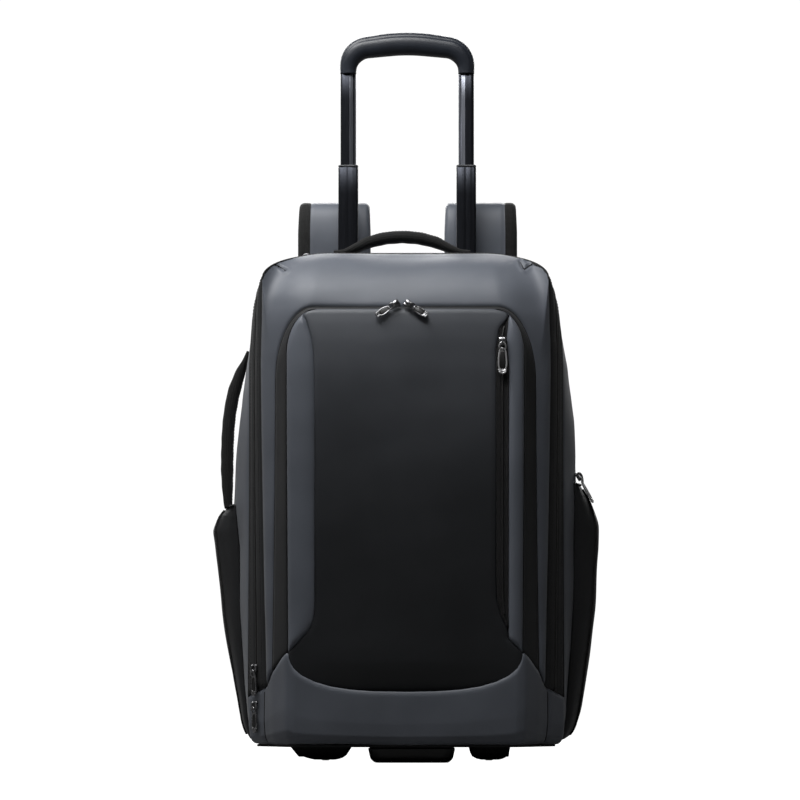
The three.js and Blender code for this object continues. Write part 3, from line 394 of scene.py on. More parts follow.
def cloth(name, grid, look, **options):
    """A closed sheet of cloth from the grid of its outer face, one cloth thick."""
    rows, columns = grid.shape[:2]
    inner = grid + inward(grid) * CLOTH
    count = rows * columns
    a, b = grid[rows // 2, columns // 2], grid[rows // 2 + 1, columns // 2]
    c = grid[rows // 2, columns // 2 + 1]
    outward = np.dot(np.cross(c - a, b - a), inward(a[None])[0]) < 0
    faces = np.vstack([grid_faces(rows, columns, 0, not outward), grid_faces(rows, columns, count, outward)])
    at = np.arange(count).reshape(rows, columns)
    rim = rim_of(at)
    after = np.roll(rim, -1)
    edge = np.stack([rim, rim + count, after + count, after], axis=1)
    faces = np.vstack([faces, edge if outward else edge[:, ::-1]])
    lengths = np.stack(run_lengths(grid), axis=-1).reshape(-1, 2)
    points = np.vstack([grid.reshape(-1, 3), inner.reshape(-1, 3)])
    return make_object(name, points, faces.tolist(), look, lengths=np.vstack([lengths, lengths]), **options)


def loft(name, sections, look, closed=False, part_of=None, **options):
    """A solid through rings of equal count, capped unless the rings themselves close on the first."""
    sections = np.asarray(sections, float)
    rings, count = sections.shape[:2]
    at = np.arange(rings * count).reshape(rings, count)
    at = np.concatenate([at, at[:, :1]], axis=1)
    if closed:
        at = np.concatenate([at, at[:1]], axis=0)
    quads = np.stack([at[:-1, :-1], at[:-1, 1:], at[1:, 1:], at[1:, :-1]], axis=-1)
    middle = sections.mean(axis=1)
    a, b, c = sections[0, 0], sections[0, 1], sections[1, 0]
    outward = np.dot(np.cross(b - a, c - a), a - middle[0]) > 0
    faces = quads.reshape(-1, 4)
    parts = None
    if part_of is not None:
        row, column = np.divmod(np.arange(len(faces)), count)
        parts = part_of(row, column).tolist()
    faces = (faces if outward else faces[:, ::-1]).tolist()
    points = sections.reshape(-1, 3)
    around = np.zeros((rings, count))
    around[:, 1:] = np.cumsum(np.linalg.norm(np.diff(sections, axis=1), axis=2), axis=1)
    along = np.repeat(gone_along(middle)[:, None], count, axis=1)
    lengths = np.stack([around, along], axis=-1).reshape(-1, 2)
    if not closed:
        points = np.vstack([points, middle[0], middle[-1]])
        lengths = np.vstack([lengths, lengths[0], lengths[-1]])
        first, last = rings * count, rings * count + 1
        for k in range(count):
            near = [at[0, k + 1], at[0, k], first]
            far = [at[-1, k], at[-1, k + 1], last]
            for cap in (near, far):
                cap = [int(v) for v in cap]
                faces.append(cap if outward else cap[::-1])
                if parts is not None:
                    parts.append(parts[0])
    return make_object(name, points, faces, look, lengths=lengths, parts=parts, **options)


def resample(path, step=None, count=None):
    """The same path with even steps, by length."""
    path = np.asarray(path, float)
    gone = gone_along(path)
    count = count or max(int(gone[-1] / step) + 1, 3)
    places = np.linspace(0, gone[-1], count)
    return np.stack([np.interp(places, gone, path[:, k]) for k in range(3)], axis=1)


def spline(points, count=80):
    """A smooth path through a few points (Catmull-Rom), with even steps."""
    points = np.asarray(points, float)
    padded = np.vstack([2 * points[0] - points[1], points, 2 * points[-1] - points[-2]])
    out = []
    for i in range(len(points) - 1):
        p0, p1, p2, p3 = padded[i:i + 4]
        for t in np.linspace(0, 1, 12, endpoint=False):
            out.append(0.5 * (2 * p1 + (p2 - p0) * t + (2 * p0 - 5 * p1 + 4 * p2 - p3) * t ** 2
                              + (3 * p1 - p0 - 3 * p2 + p3) * t ** 3))
    out.append(points[-1])
    return resample(out, count=count)


def tangents(path):
    way = np.gradient(path, axis=0)
    return way / np.maximum(np.linalg.norm(way, axis=1, keepdims=True), 1e-9)


def frames(path, up=None):
    """Two directions across a path at each point, turned as little as possible along it."""
    ways = tangents(path)
    start = np.array([0.0, 0, 1]) if abs(ways[0][2]) < 0.9 else np.array([1.0, 0, 0])
    side = np.cross(ways[0], start) if up is None else np.asarray(up, float)
    sides = []
    for way in ways:
        side = side - way * np.dot(side, way)
        side = side / np.linalg.norm(side)
        sides.append(side)
    sides = np.array(sides)
    return sides, np.cross(ways, sides)


def tube(name, path, radius, look, around=10, closed=False, up=None, squash=1.0, **options):
    """A round cord or wire along a path. radius may be one value for each point."""
    path = np.asarray(path, float)
    a, b = frames(path, up)
    if closed:
        ways = tangents(np.vstack([path[-1], path, path[0]]))[1:-1]
        a = np.cross(ways, np.cross(a, ways))
        a = a / np.linalg.norm(a, axis=1, keepdims=True)
        b = np.cross(ways, a)
    radii = np.broadcast_to(np.asarray(radius, float), (len(path),))
    turn = np.linspace(0, 2 * math.pi, around, endpoint=False)
    ring = a[:, None] * np.cos(turn)[None, :, None] + b[:, None] * np.sin(turn)[None, :, None] * squash
    return loft(name, path[:, None] + ring * radii[:, None, None], look, closed, **options)


def section(width, thickness, radius, count=36):
    """A rounded rectangle as (across, out) pairs with evenly spread points, going round once."""
    w, h = width / 2, thickness / 2
    r = min(radius, w - 0.01, h - 0.01)
    pairs = []
    for sx, sy, start in ((1, 1, 0), (-1, 1, 1), (-1, -1, 2), (1, -1, 3)):
        for k in range(9):
            angle = (start + k / 8) * math.pi / 2
            pairs.append((sx * (w - r) + r * math.cos(angle), sy * (h - r) + r * math.sin(angle), 0))
    pairs.append(pairs[0])
    return resample(pairs, count=count + 1)[:-1, :2]


def strap_rings(points, widths, thicknesses, side, radius_share=0.42, count=36, swell=None):
    """Rounded sections across a path. Width lies along `side`. swell(share, across) adds relief."""
    points = np.asarray(points, float)
    ways = tangents(points)
    side = np.asarray(side, float)
    across = side - ways * (ways @ side)[:, None]
    across = across / np.linalg.norm(across, axis=1, keepdims=True)
    out = np.cross(ways, across)
    rings = []
    for i, (width, thickness) in enumerate(zip(widths, thicknesses)):
        pairs = section(width, thickness, thickness * radius_share, count)
        if swell is not None:
            share = i / (len(points) - 1)
            extra = swell(share, pairs[:, 0] / (width / 2))
            pairs = pairs + np.stack([np.zeros(count), extra * np.sign(pairs[:, 1])], axis=1)
        rings.append(points[i] + across[i] * pairs[:, :1] + out[i] * pairs[:, 1:])
    return np.array(rings)


def stitches(name, lines):
    """Rows of short raised stitches along lines that lie on the cloth. All rows are one mesh."""
    points, faces = [], []
    pitch, length, radius, sides_of = STITCH_PITCH, STITCH_LENGTH, STITCH_RADIUS, 6
    for line in lines:
        path = resample(line, step=0.6)
        gone = gone_along(path)
        places = np.arange(pitch / 2, gone[-1] - pitch / 2, pitch)
        centres = np.stack([np.interp(places, gone, path[:, k]) for k in range(3)], axis=1)
        if len(centres) < 2:
            continue
        ways = tangents(centres)
        outs = -inward(centres)
        sides = np.cross(ways, outs)
        for centre, way, out, side in zip(centres, ways, outs, sides):
            base = len(points)
            for along, size in ((-0.5, 0.35), (-0.3, 1.0), (0.3, 1.0), (0.5, 0.35)):
                for k in range(sides_of):
                    angle = k / sides_of * 2 * math.pi
                    ring = side * math.cos(angle) + out * math.sin(angle)
                    points.append(centre + way * along * length + ring * radius * size)
            for ring in range(3):
                for k in range(sides_of):
                    a = base + ring * sides_of + k
                    b = base + ring * sides_of + (k + 1) % sides_of
                    faces.append([a, a + sides_of, b + sides_of, b])
            faces.append([base + k for k in range(sides_of)])
            faces.append([base + 3 * sides_of + k for k in reversed(range(sides_of))])
    lengths = np.zeros((len(points), 2))
    lengths[:, 0] = np.arange(len(points)) % sides_of
    make_object(name, np.array(points), faces, "thread", lengths=lengths)


def coil(name, line, radius=1.15):
    """A closed zip coil: a row of rounded teeth along a line."""
    path = resample(line, step=COIL_PITCH / 4)
    phase = np.arange(len(path)) % 4
    radii = radius * np.where(phase == 0, 0.72, np.where(phase == 2, 1.0, 0.9))
    tube(name, path, radii, "coil", around=8)


def box_mesh(low, high):
    made = bmesh.new()
    bmesh.ops.create_cube(made, size=1.0)
    low, high = np.array(low), np.array(high)
    for vert in made.verts:
        share = np.array(vert.co) + 0.5
        vert.co = Vector((low + (high - low) * share) * MM)
    mesh = bpy.data.meshes.new("cutter")
    made.to_mesh(mesh)
    made.free()
    return mesh


def apply_modifiers(made):
    """Keeps the result of an object's modifiers as its mesh."""
    bpy.context.view_layer.update()
    graph = bpy.context.evaluated_depsgraph_get()
    mesh = bpy.data.meshes.new_from_object(made.evaluated_get(graph), depsgraph=graph)
    made.modifiers.clear()
    made.data = mesh


def cut_boxes(made, boxes):
    """Cuts blocks, each (low, high) in millimetres, out of a piece."""
    cutters = []
    for low, high in boxes:
        cutter = bpy.data.objects.new("cutter", box_mesh(low, high))
        bpy.context.scene.collection.objects.link(cutter)
        cutters.append(cutter)
        step = made.modifiers.new("cut", "BOOLEAN")
        step.operation = "DIFFERENCE"
        step.solver = "EXACT"
        step.object = cutter
    apply_modifiers(made)
    for cutter in cutters:
        bpy.data.objects.remove(cutter)


def copy_of(name, node, look):
    """A piece with its own copy of a CAD solid's mesh. It replaces the node."""
    made = bpy.data.objects.new(name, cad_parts[node].data.copy())
    bpy.context.scene.collection.objects.link(made)
    made.data.materials.clear()
    made.data.materials.append(LOOKS[look])
    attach(made, "bag")
    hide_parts(node)
    return made


def softened(name, node, voxel, passes, keep):
    """A hard plastic solid with its edges rounded over, as a moulding has them."""
    made = copy_of(name, node, "plastic")
    remesh = made.modifiers.new("remesh", "REMESH")
    remesh.mode = "VOXEL"
    remesh.voxel_size = voxel * MM
    relax = made.modifiers.new("relax", "SMOOTH")
    relax.factor = 0.5
    relax.iterations = passes
    thin = made.modifiers.new("thin", "DECIMATE")
    thin.ratio = keep
    apply_modifiers(made)
    made.data.polygons.foreach_set("use_smooth", np.ones(len(made.data.polygons), bool))


# Seams of the bag body, as in the solids but for the pocket root's top, which is a little lower.
# half and foot: half widths as shares of half the body width.
# top and foot_z: heights as shares of the body top.
# run and rise: the corner's size as shares of half the width and of the body top.
# y_side and y_top: places from the front as shares of the depth.
SEAM_COLUMNS = ("half", "foot", "top", "foot_z", "run", "rise", "y_side", "y_top")
SEAM_ROWS = {
    "pocket_edge": (0.75, 0.738, 0.879, 0.214, 0.19, 0.087, 0.02, 0.075),
    "pocket_root": (0.82, 0.838, 0.883, 0.18, 0.24, 0.145, 0.14, 0.09),
    "frame_edge": (0.918, 0.875, 0.996, 0.147, 0.42, 0.052, 0.21, 0.45),
    "gusset_edge": (0.994, 1.0, 1.0, 0.127, 0.5, 0.14, 0.35, 0.65),
    "back_edge": (0.945, 0.935, 0.995, 0.05, 0.44, 0.125, 1, 0.99),
}
SEAMS = {name: dict(zip(SEAM_COLUMNS, row)) for name, row in SEAM_ROWS.items()}
FACE_CURL = [(0.13, 0.022), (0.16, 0.01), (0.22, 0.002), (0.35, 0), (0.58, 0), (0.68, 0.005),
             (0.76, 0.014), (0.82, 0.028), (0.855, 0.042), (0.879, 0.058)]


def pocket_face(x, z):
    """A point on the pocket's front at a place across and a height."""
    share = np.abs(x) / (SEAMS["pocket_edge"]["half"] * HALF_WIDTH)
    bow = POCKET_CROWN * (1 - share ** 2) * smooth(0.13, 0.2, z / BODY_TOP)
    y = depth_y(SEAMS["pocket_edge"]["y_side"] + table(FACE_CURL, z / BODY_TOP)) - bow
    return np.stack(np.broadcast_arrays(x, y, z), axis=-1)


def half_seam(name):
    seam = SEAMS[name]
    half, run = seam["half"] * HALF_WIDTH, seam["run"] * HALF_WIDTH
    rise, top = seam["rise"] * BODY_TOP, seam["top"] * BODY_TOP
    t = np.linspace(0, 1, SIDE_STEPS + 1)
    up = np.stack([
        lerp(seam["foot"] * HALF_WIDTH, half, np.sin(t * math.pi / 2)),
        np.full_like(t, depth_y(seam["y_side"])),
        lerp(seam["foot_z"] * BODY_TOP, top - rise, t),
    ], axis=1)
    angle = np.linspace(0, math.pi / 2, CORNER_STEPS + 1)[1:]
    corner = np.stack([
        half - run + run * np.cos(angle),
        depth_y(lerp(seam["y_side"], seam["y_top"], np.sin(angle) ** 2)),
        top - rise + rise * np.sin(angle),
    ], axis=1)
    t = np.linspace(0, 1, TOP_STEPS + 1)[1:]
    over = np.stack([
        lerp(half - run, 0, t),
        np.full_like(t, depth_y(seam["y_top"])),
        np.full_like(t, top),
    ], axis=1)
    return np.vstack([up, corner, over])


def whole_seam(name):
    right = half_seam(name)
    return np.vstack([right * (-1, 1, 1), right[-2::-1]])


def band(inner, outer, columns, crown):
    """The cloth between two seams. crown gives how far its middle stands out, for each point of the seam
    and each share of the way across."""
    t = np.linspace(0, 1, columns + 1)
    grid = inner[:, None] * (1 - t)[None, :, None] + outer[:, None] * t[None, :, None]
    lift = np.broadcast_to(crown(seam_share(len(inner))[:, None], t[None]), grid.shape[:2])
    return grid - inward(grid) * lift[..., None]


def seam_share(count):
    """Share of the way up one side, 0 at the foot and 1 at the middle of the top."""
    return 1 - np.abs(2 * np.arange(count) / (count - 1) - 1)


def bulge(t):
    return 4 * t * (1 - t)


# How far each side leans out, in mm, by height as a share of the body top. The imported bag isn't quite even.
LEAN = {
    -1: [(0.78, 0), (0.83, -1.5), (0.87, -3), (1, -4)],
    1: [(0.78, 0), (0.83, -1), (0.86, -3), (0.95, -5), (1, -6)],
}
LEAN_SHARE = {"frame_edge": 0.5, "gusset_edge": 1, "back_edge": 1}


def lean(name, seam):
    """A seam with its upper part moved in, by the share of the lean that it takes."""
    seam = seam.copy()
    height = seam[:, 2] / BODY_TOP
    out = np.where(seam[:, 0] < 0, table(LEAN[-1], height), table(LEAN[1], height))
    seam[:, 0] += out * LEAN_SHARE.get(name, 0) * seam[:, 0] / HALF_WIDTH
    return seam


seams = {name: lean(name, whole_seam(name)) for name in SEAMS}
seams["pocket_edge"] = pocket_face(seams["pocket_edge"][:, 0], seams["pocket_edge"][:, 2])
HALF_STEPS = SIDE_STEPS + CORNER_STEPS + TOP_STEPS
CORNER_SHARE = SIDE_STEPS / HALF_STEPS
TOP_SHARE = (SIDE_STEPS + CORNER_STEPS) / HALF_STEPS


def front_line(pairs, **options):
    """A line through (across, height) places in the front view."""
    return resample(np.array([(x, 0, z) for x, z in pairs], float), **options)


def crease(grid, line, depth, width, ridge):
    """Presses a narrow fold into a grid along a line in the front view, with a soft ridge each side."""
    line = front_line(line, step=0.5)
    flat = grid[..., (0, 2)]
    gap = np.min(np.linalg.norm(flat[:, :, None] - line[None, None][..., (0, 2)], axis=3), axis=2)
    press = depth * np.exp(-(gap / width) ** 2) - ridge * np.exp(-((gap - 2.6 * width) / width) ** 2)
    return grid + inward(grid) * press[..., None]


# Pinched darts at the top corners, as (across, height) in the front view
DARTS = {
    "left": [(-133, 503.5), (-128, 501), (-122, 497)],
    "right": [(116, 505.5), (119.5, 498), (128.5, 504.5), (136, 500)],
}
FRAME_CROWN = 2.6
DOME_CROWN = 15


def add_front():
    """Grey frame round the pocket, widening into the dome over it, with a pinched dart at each corner."""
    def crown(share, t):
        dome = smooth(CORNER_SHARE, TOP_SHARE, share)
        return lerp(FRAME_CROWN, DOME_CROWN, dome) * bulge(t)

    grid = band(seams["pocket_root"], seams["frame_edge"], 64, crown)
    soft = smooth(0.5, 0.8, seam_share(len(grid)))[:, None]
    relief = waves(grid, 95, 3) * lerp(0.35, 1.1, soft)
    relief = relief + waves(grid, 38, 4, (0.4, 1, 1)) * lerp(0.15, 0.35, soft)
    grid = grid + inward(grid) * relief[..., None] * bulge(np.linspace(0, 1, grid.shape[1]))[None, :, None]
    low, middle = SIDE_STEPS - 10, len(grid) // 2
    for side, near in (("left", slice(low, middle)), ("right", slice(middle, len(grid) - low))):
        grid[near] = crease(grid[near], DARTS[side], 3.0, 1.2, 1.2)
        flat = grid[near].reshape(-1, 3)
        seam = front_line(DARTS[side], count=14)
        for spot in seam:
            nearest = np.argsort(np.linalg.norm(flat[:, (0, 2)] - spot[[0, 2]], axis=1))[:4]
            spot[1] = flat[nearest, 1].mean() - 0.2
        tube(f"dart_seam_{side}", seam, 0.55, "thread", around=8)
    cloth("front_frame_cloth", rolled(grid), "grey", nodes=["front_panel"])


add_front()


def add_pocket_gusset():
    """Black cloth from the pocket's face back to the frame round it."""
    root = seams["pocket_edge"] + (0, 0.9, 0)
    grid = band(root, seams["pocket_root"], 14, lambda share, t: 0.8 * bulge(t))
    cloth("pocket_gusset_cloth", rolled(grid, depth=0.8), "gusset", nodes=["pocket_gusset"])


add_pocket_gusset()


def add_zip_gusset():
    """Black zip tapes round the bag, with the coil in a slot between them and a row of stitches each side."""
    def crown(_, t):
        slot = np.exp(-((t - 0.5) / 0.07) ** 2)
        return 1.2 * bulge(t) - slot

    grid = band(seams["frame_edge"], seams["gusset_edge"], 30, crown)
    cloth("zip_gusset_cloth", rolled(grid), "gusset", nodes=["zip_gusset"])
    coil("zip_gusset_coil", grid[:, 15] - inward(grid[:, 15]) * 0.3)
    rows = [grid[:, k] - inward(grid[:, k]) * 0.15 for k in (6, 24)]
    stitches("zip_gusset_stitches", rows)


add_zip_gusset()

# How far the side panels bow out in the solids, in mm, by height as a share of the body top. MORE_BOW adds to
# it at each side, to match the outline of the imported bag.
SIDE_BOW = [(0.05, 2), (0.15, 9), (0.3, 16), (0.5, 18.5), (0.6, 15), (0.67, 10), (0.75, 5), (0.82, 2), (1, 1)]
MORE_BOW = {
    -1: [(0.42, 0), (0.5, 3.5), (0.6, 4), (0.67, 6), (0.72, 6), (0.77, 4), (0.82, 1), (0.86, 0)],
    1: [(0.5, 0), (0.58, 1), (0.62, 3), (0.67, 6), (0.72, 6.5), (0.77, 5.5), (0.82, 2.5), (0.86, 0)],
}
BOTTOM_TUCK = 6.0
side_rows = SIDE_STEPS + int(CORNER_STEPS * 0.4)


def rear_band():
    """The cloth from the zip gusset to the back, with the bow of its sides but none of their relief."""
    grid = band(seams["gusset_edge"], seams["back_edge"], 56, lambda share, t: 0.0)
    height = grid[..., 2] / BODY_TOP
    more = np.where(grid[..., 0] > 0, table(MORE_BOW[1], height), table(MORE_BOW[-1], height))
    bow = (table(SIDE_BOW, height) + more) * bulge(np.linspace(0, 1, 57))[None]
    return grid - inward(grid) * bow[..., None]


def with_foot(rows, steps=10):
    """Adds the part of the side below its seam's foot, down to the bottom edge."""
    top = rows[0]
    share = np.linspace(0, 1, top.shape[0])
    low = np.stack([
        np.sign(top[:, 0]) * (np.abs(top[:, 0]) - BOTTOM_TUCK),
        top[:, 1],
        lerp(BODY_BOTTOM + 6, BODY_BOTTOM, share),
    ], axis=1)
    extra = []
    for k in range(steps):
        t = k / steps
        row = lerp(low, top, t)
        row[:, 0] += np.sign(top[:, 0]) * BOTTOM_TUCK * (math.sin(t * math.pi / 2) - t)
        extra.append(row)
    return np.concatenate([np.array(extra), rows])


bowed = rear_band()
side_grids = {"left": with_foot(bowed[:side_rows + 1]), "right": with_foot(bowed[:-side_rows - 2:-1])}


def add_sides_and_top():
    """Grey side panels and the top between them, cut for the outer tubes of the pull handle."""
    for side, grid in side_grids.items():
        relief = waves(grid, 80, 11 if side == "left" else 12) * 0.7 + waves(grid, 30, 13, (1, 1, 0.4)) * 0.2
        shaped = grid + inward(grid) * (relief * bulge(np.linspace(0, 1, 57))[None])[..., None]
        cloth(f"side_cloth_{side}", rolled(shaped), "grey", nodes=[f"side_panel_{side}"])
    grid = bowed[side_rows:-side_rows]
    relief = waves(grid, 70, 15) * 0.5
    shaped = grid + inward(grid) * relief[..., None]
    made = cloth("top_cloth", rolled(shaped), "grey", nodes=["top_panel"])
    half = np.array([OUTER_TUBE[0] / 2 + CUT_GAP, OUTER_TUBE[1] / 2 + CUT_GAP, 30])
    cut_boxes(made, [((x, TUBE_Y, BODY_TOP) - half, (x, TUBE_Y, BODY_TOP) + half) for x in (-TUBE_X, TUBE_X)])


add_sides_and_top()
CUT_HALF = HOUSING_HALF + CUT_GAP
HOUSING_CUTS = [
    ((x - CUT_HALF, HOUSING_FRONT - CUT_GAP, -10), (x + CUT_HALF, BACK_Y + 20, HOUSING_TOP + CUT_GAP))
    for x in (-WHEEL_X, WHEEL_X)
]


def add_back():
    """Back panel in black cloth, cut for the wheel housings."""
    seam = seams["back_edge"]
    middle = (len(seam) - 1) // 2
    rows = middle - TOP_STEPS + 1
    t = np.linspace(0, 1, 65)[None, :, None]
    grid = seam[:rows, None] * (1 - t) + seam[::-1][:rows, None] * t
    grid[..., 1] += 2 * bulge(t[0, :, 0])
    foot = grid[0] * (1 - BOTTOM_TUCK / abs(grid[0, 0, 0]), 1, 1)
    foot[:, 2] = BODY_BOTTOM
    steps = np.linspace(0, 1, 8, endpoint=False)[:, None, None]
    grid = np.concatenate([lerp(foot[None], grid[:1], steps), grid])
    grid = grid + inward(grid) * (waves(grid, 60, 21) * 0.4)[..., None]
    made = cloth("back_cloth", rolled(grid), "gusset", nodes=["back_panel"])
    cut_boxes(made, HOUSING_CUTS)


add_back()

PAD_HALF = 108.0
PAD_LOW = 84.0
PAD_TOP = 474.0
PAD_THICKNESS = 9.0
PAD_CORNER = 30.0
PAD_CHANNELS = (-110, -37, 37, 110)
PAD_Y = BACK_Y + 2.3


def add_back_pad():
    """Padded back: two raised mesh columns with cross channels, a sunk middle channel and a bound edge."""
    columns, rows = 109, 181
    u = np.linspace(-1, 1, columns)
    v = np.linspace(-1, 1, rows)
    height = (PAD_TOP - PAD_LOW) / 2
    corner = PAD_CORNER
    grid = []
    for share in v:
        z = share * height
        over = max(abs(z) - (height - corner), 0)
        half = PAD_HALF - corner + math.sqrt(max(corner ** 2 - over ** 2, 0))
        grid.append(np.stack([u * half, np.zeros(columns), np.full(columns, z)], axis=1))
    grid = np.array(grid)
    x, z = grid[..., 0], grid[..., 2]
    edge = np.minimum(PAD_HALF - np.abs(x), height - np.abs(z))
    fill = smooth(0, 16, edge) ** 0.6
    channel = np.exp(-(x / 9) ** 2) * smooth(height, height - 60, np.abs(z))
    cross = np.zeros_like(x)
    for place in PAD_CHANNELS:
        bend = place + 0.0012 * x ** 2
        cross = np.maximum(cross, np.exp(-((z - bend) / 3.2) ** 2) * smooth(3, 14, np.abs(x)))
    lift = fill * PAD_THICKNESS * (1 - 0.55 * channel) * (1 - 0.5 * cross) + 1.2
    lift = lift + waves(grid, 45, 31) * 0.25 * fill
    face = np.stack([x, PAD_Y + lift, z + (PAD_TOP + PAD_LOW) / 2], axis=-1)
    back = face.copy()
    back[..., 1] = PAD_Y
    count = rows * columns
    faces = np.vstack([grid_faces(rows, columns, 0, True), grid_faces(rows, columns, count)])
    at = np.arange(count).reshape(rows, columns)
    rim = rim_of(at)
    after = np.roll(rim, -1)
    faces = np.vstack([faces, np.stack([rim, after, after + count, rim + count], axis=1)])
    lengths = np.stack([x, z], axis=-1).reshape(-1, 2)
    points = np.vstack([face.reshape(-1, 3), back.reshape(-1, 3)])
    made = make_object("back_pad_mesh", points, faces.tolist(), "mesh", nodes=["back_pad"],
                       lengths=np.vstack([lengths, lengths]))
    outline = rim_of(face)
    ring = resample(np.vstack([outline, outline[:1]]), step=4)[:-1]
    tube("back_pad_binding", ring, 1.7, "binding", closed=True)


add_back_pad()

# The panel's upper edge and its plan, against the share of half the body width: share of the body top, share
# of the depth
BOTTOM_EDGE = [(0, 0.1375), (0.2, 0.1385), (0.35, 0.142), (0.47, 0.148), (0.569, 0.157), (0.65, 0.169),
               (0.7, 0.182), (0.725, 0.197), (0.738, 0.214), (0.775, 0.203), (0.838, 0.175), (0.875, 0.148),
               (1, 0.127)]
PLAN = [(0, 0.0), (0.2, 0.001), (0.4, 0.004), (0.569, 0.008), (0.7, 0.014), (0.75, 0.03), (0.838, 0.14),
        (0.875, 0.21), (1, 0.35)]
# Height up the panel, move back and move in, as shares
BOTTOM_TUCKS = [(0, 0.045, 0.045), (0.06, 0.018, 0.02), (0.16, 0.004, 0.008), (0.4, 0, 0), (1, 0, 0)]


BOTTOM_SEAM = 0.89
BOTTOM_COLUMNS = 221


def bottom_edge(x):
    return table(BOTTOM_EDGE, np.abs(x) / HALF_WIDTH, 0.006) * BODY_TOP


def add_bottom():
    """Grey bottom panel that laps the foot of every band, with a seam near each end."""
    across = np.linspace(-1, 1, BOTTOM_COLUMNS)
    heights = np.concatenate([np.linspace(0, 0.2, 16, endpoint=False), np.linspace(0.2, 1, 34)])
    backs = table([(h, b) for h, b, _ in BOTTOM_TUCKS], heights, 0.03)
    ins = table([(h, i) for h, _, i in BOTTOM_TUCKS], heights, 0.03)
    x = across * HALF_WIDTH
    y = depth_y(table(PLAN, np.abs(across), 0.02)[None] + backs[:, None])
    z = lerp(BODY_BOTTOM, bottom_edge(x)[None], heights[:, None])
    grid = np.stack([x[None] * (1 - ins[:, None]), y, z], axis=-1)
    grid = grid + inward(grid) * (waves(grid, 110, 41) * 0.9 + waves(grid, 40, 42) * 0.2)[..., None] * 0.8
    columns = [int(round((sign * BOTTOM_SEAM + 1) / 2 * (BOTTOM_COLUMNS - 1))) for _, sign in SIDES]
    for column in columns:
        press = np.exp(-((np.arange(BOTTOM_COLUMNS) - column) / 0.9) ** 2) * 1.1
        grid = grid + inward(grid) * press[None, :, None]
    grid = grid - inward(grid) * 0.5
    cloth("bottom_cloth", rolled(grid), "grey", nodes=["bottom_panel"])
    for (side, _), column in zip(SIDES, columns):
        line = grid[4:-3, column]
        tube(f"bottom_seam_{side}", resample(line - inward(line) * 0.15, step=3), 0.6, "thread", around=8)


add_bottom()


# Pocket face

# Edges between the face's parts, as (height share of the body top, share of half the body width)
FACE_EDGES = {
    "left_inset": [(0.205, 0.76), (0.214, 0.734), (0.235, 0.668), (0.257, 0.604), (0.275, 0.578),
                   (0.3, 0.569), (0.74, 0.569), (0.79, 0.575), (0.82, 0.588), (0.855, 0.622), (0.879, 0.66)],
    "right_panel": [(0.205, 0.76), (0.214, 0.734), (0.24, 0.645), (0.262, 0.636), (0.285, 0.598),
                    (0.315, 0.574), (0.36, 0.569), (0.8, 0.569), (0.84, 0.59), (0.86, 0.64), (0.879, 0.66)],
    "right_inset": [(0.205, 0.77), (0.214, 0.736), (0.24, 0.648), (0.29, 0.645), (0.77, 0.65), (0.82, 0.636),
                    (0.86, 0.648), (0.879, 0.665)],
}
FACE_FOOT = SEAMS["pocket_edge"]["foot_z"] * BODY_TOP
FACE_TOP = SEAMS["pocket_edge"]["top"] * BODY_TOP
FLARE_TOP = 0.3 * BODY_TOP
PANEL_LAP = 9


def pocket_half(z):
    """Half the width of the pocket's face at a height."""
    seam = SEAMS["pocket_edge"]
    side = lerp(seam["foot"], seam["half"], np.clip((z / BODY_TOP - 0.2) / 0.5, 0, 1)) * HALF_WIDTH
    run, rise = seam["run"] * HALF_WIDTH, seam["rise"] * BODY_TOP
    up = np.clip((z - (FACE_TOP - rise)) / rise, 0, 1)
    return side - run * (1 - np.sqrt(1 - up * up))


def face_edge(name, z):
    return np.minimum(table(FACE_EDGES[name], z / BODY_TOP, 0.007) * HALF_WIDTH, pocket_half(z) - 1)


def face_grid(z, start, end, columns):
    t = np.linspace(0, 1, columns + 1)[None]
    x = lerp(start[:, None], end[:, None], t)
    return pocket_face(x, np.broadcast_to(z[:, None], x.shape))


def add_pocket_panel():
    """Black centre panel, widening below the insets and running down behind the bottom panel."""
    flare = np.linspace(FACE_FOOT, FLARE_TOP, 40, endpoint=False)
    z = np.concatenate([flare, np.linspace(FLARE_TOP, FACE_TOP, 120)])
    upper = face_grid(z, -face_edge("left_inset", z), face_edge("right_panel", z), 90)
    x = upper[0, :, 0]
    foot = np.minimum(bottom_edge(x), FACE_FOOT) - PANEL_LAP
    t = np.linspace(0, 1, 26, endpoint=False)[:, None]
    z_low = lerp(foot[None], FACE_FOOT, t)
    low = pocket_face(np.broadcast_to(x[None], z_low.shape), z_low)
    grid = np.concatenate([low, upper])
    relief = waves(grid, 120, 51) * 0.7 + waves(grid, 45, 52) * 0.12
    grid = grid + inward(grid) * relief[..., None]
    cloth("pocket_panel_cloth", rolled(grid, depth=1.2), "panel", nodes=["pocket_panel"])


def add_insets():
    """Grey side insets, slightly fuller than the panel so their inner edges catch the light."""
    z = np.linspace(FACE_FOOT, FACE_TOP, 150)
    for side, sign in SIDES:
        outer = pocket_half(z) - 0.6
        inner = face_edge(f"{side}_inset", z)
        grid = face_grid(z, sign * outer, sign * inner, 26)
        swell = bulge(np.linspace(0, 1, 27))[None] * np.minimum((outer - inner) / 12, 1)[:, None] * 2.2
        grid = grid - inward(grid) * (swell + waves(grid, 70, 53) * 0.2)[..., None]
        cloth(f"pocket_inset_cloth_{side}", rolled(grid, depth=1.3), "grey", nodes=[f"pocket_inset_{side}"])


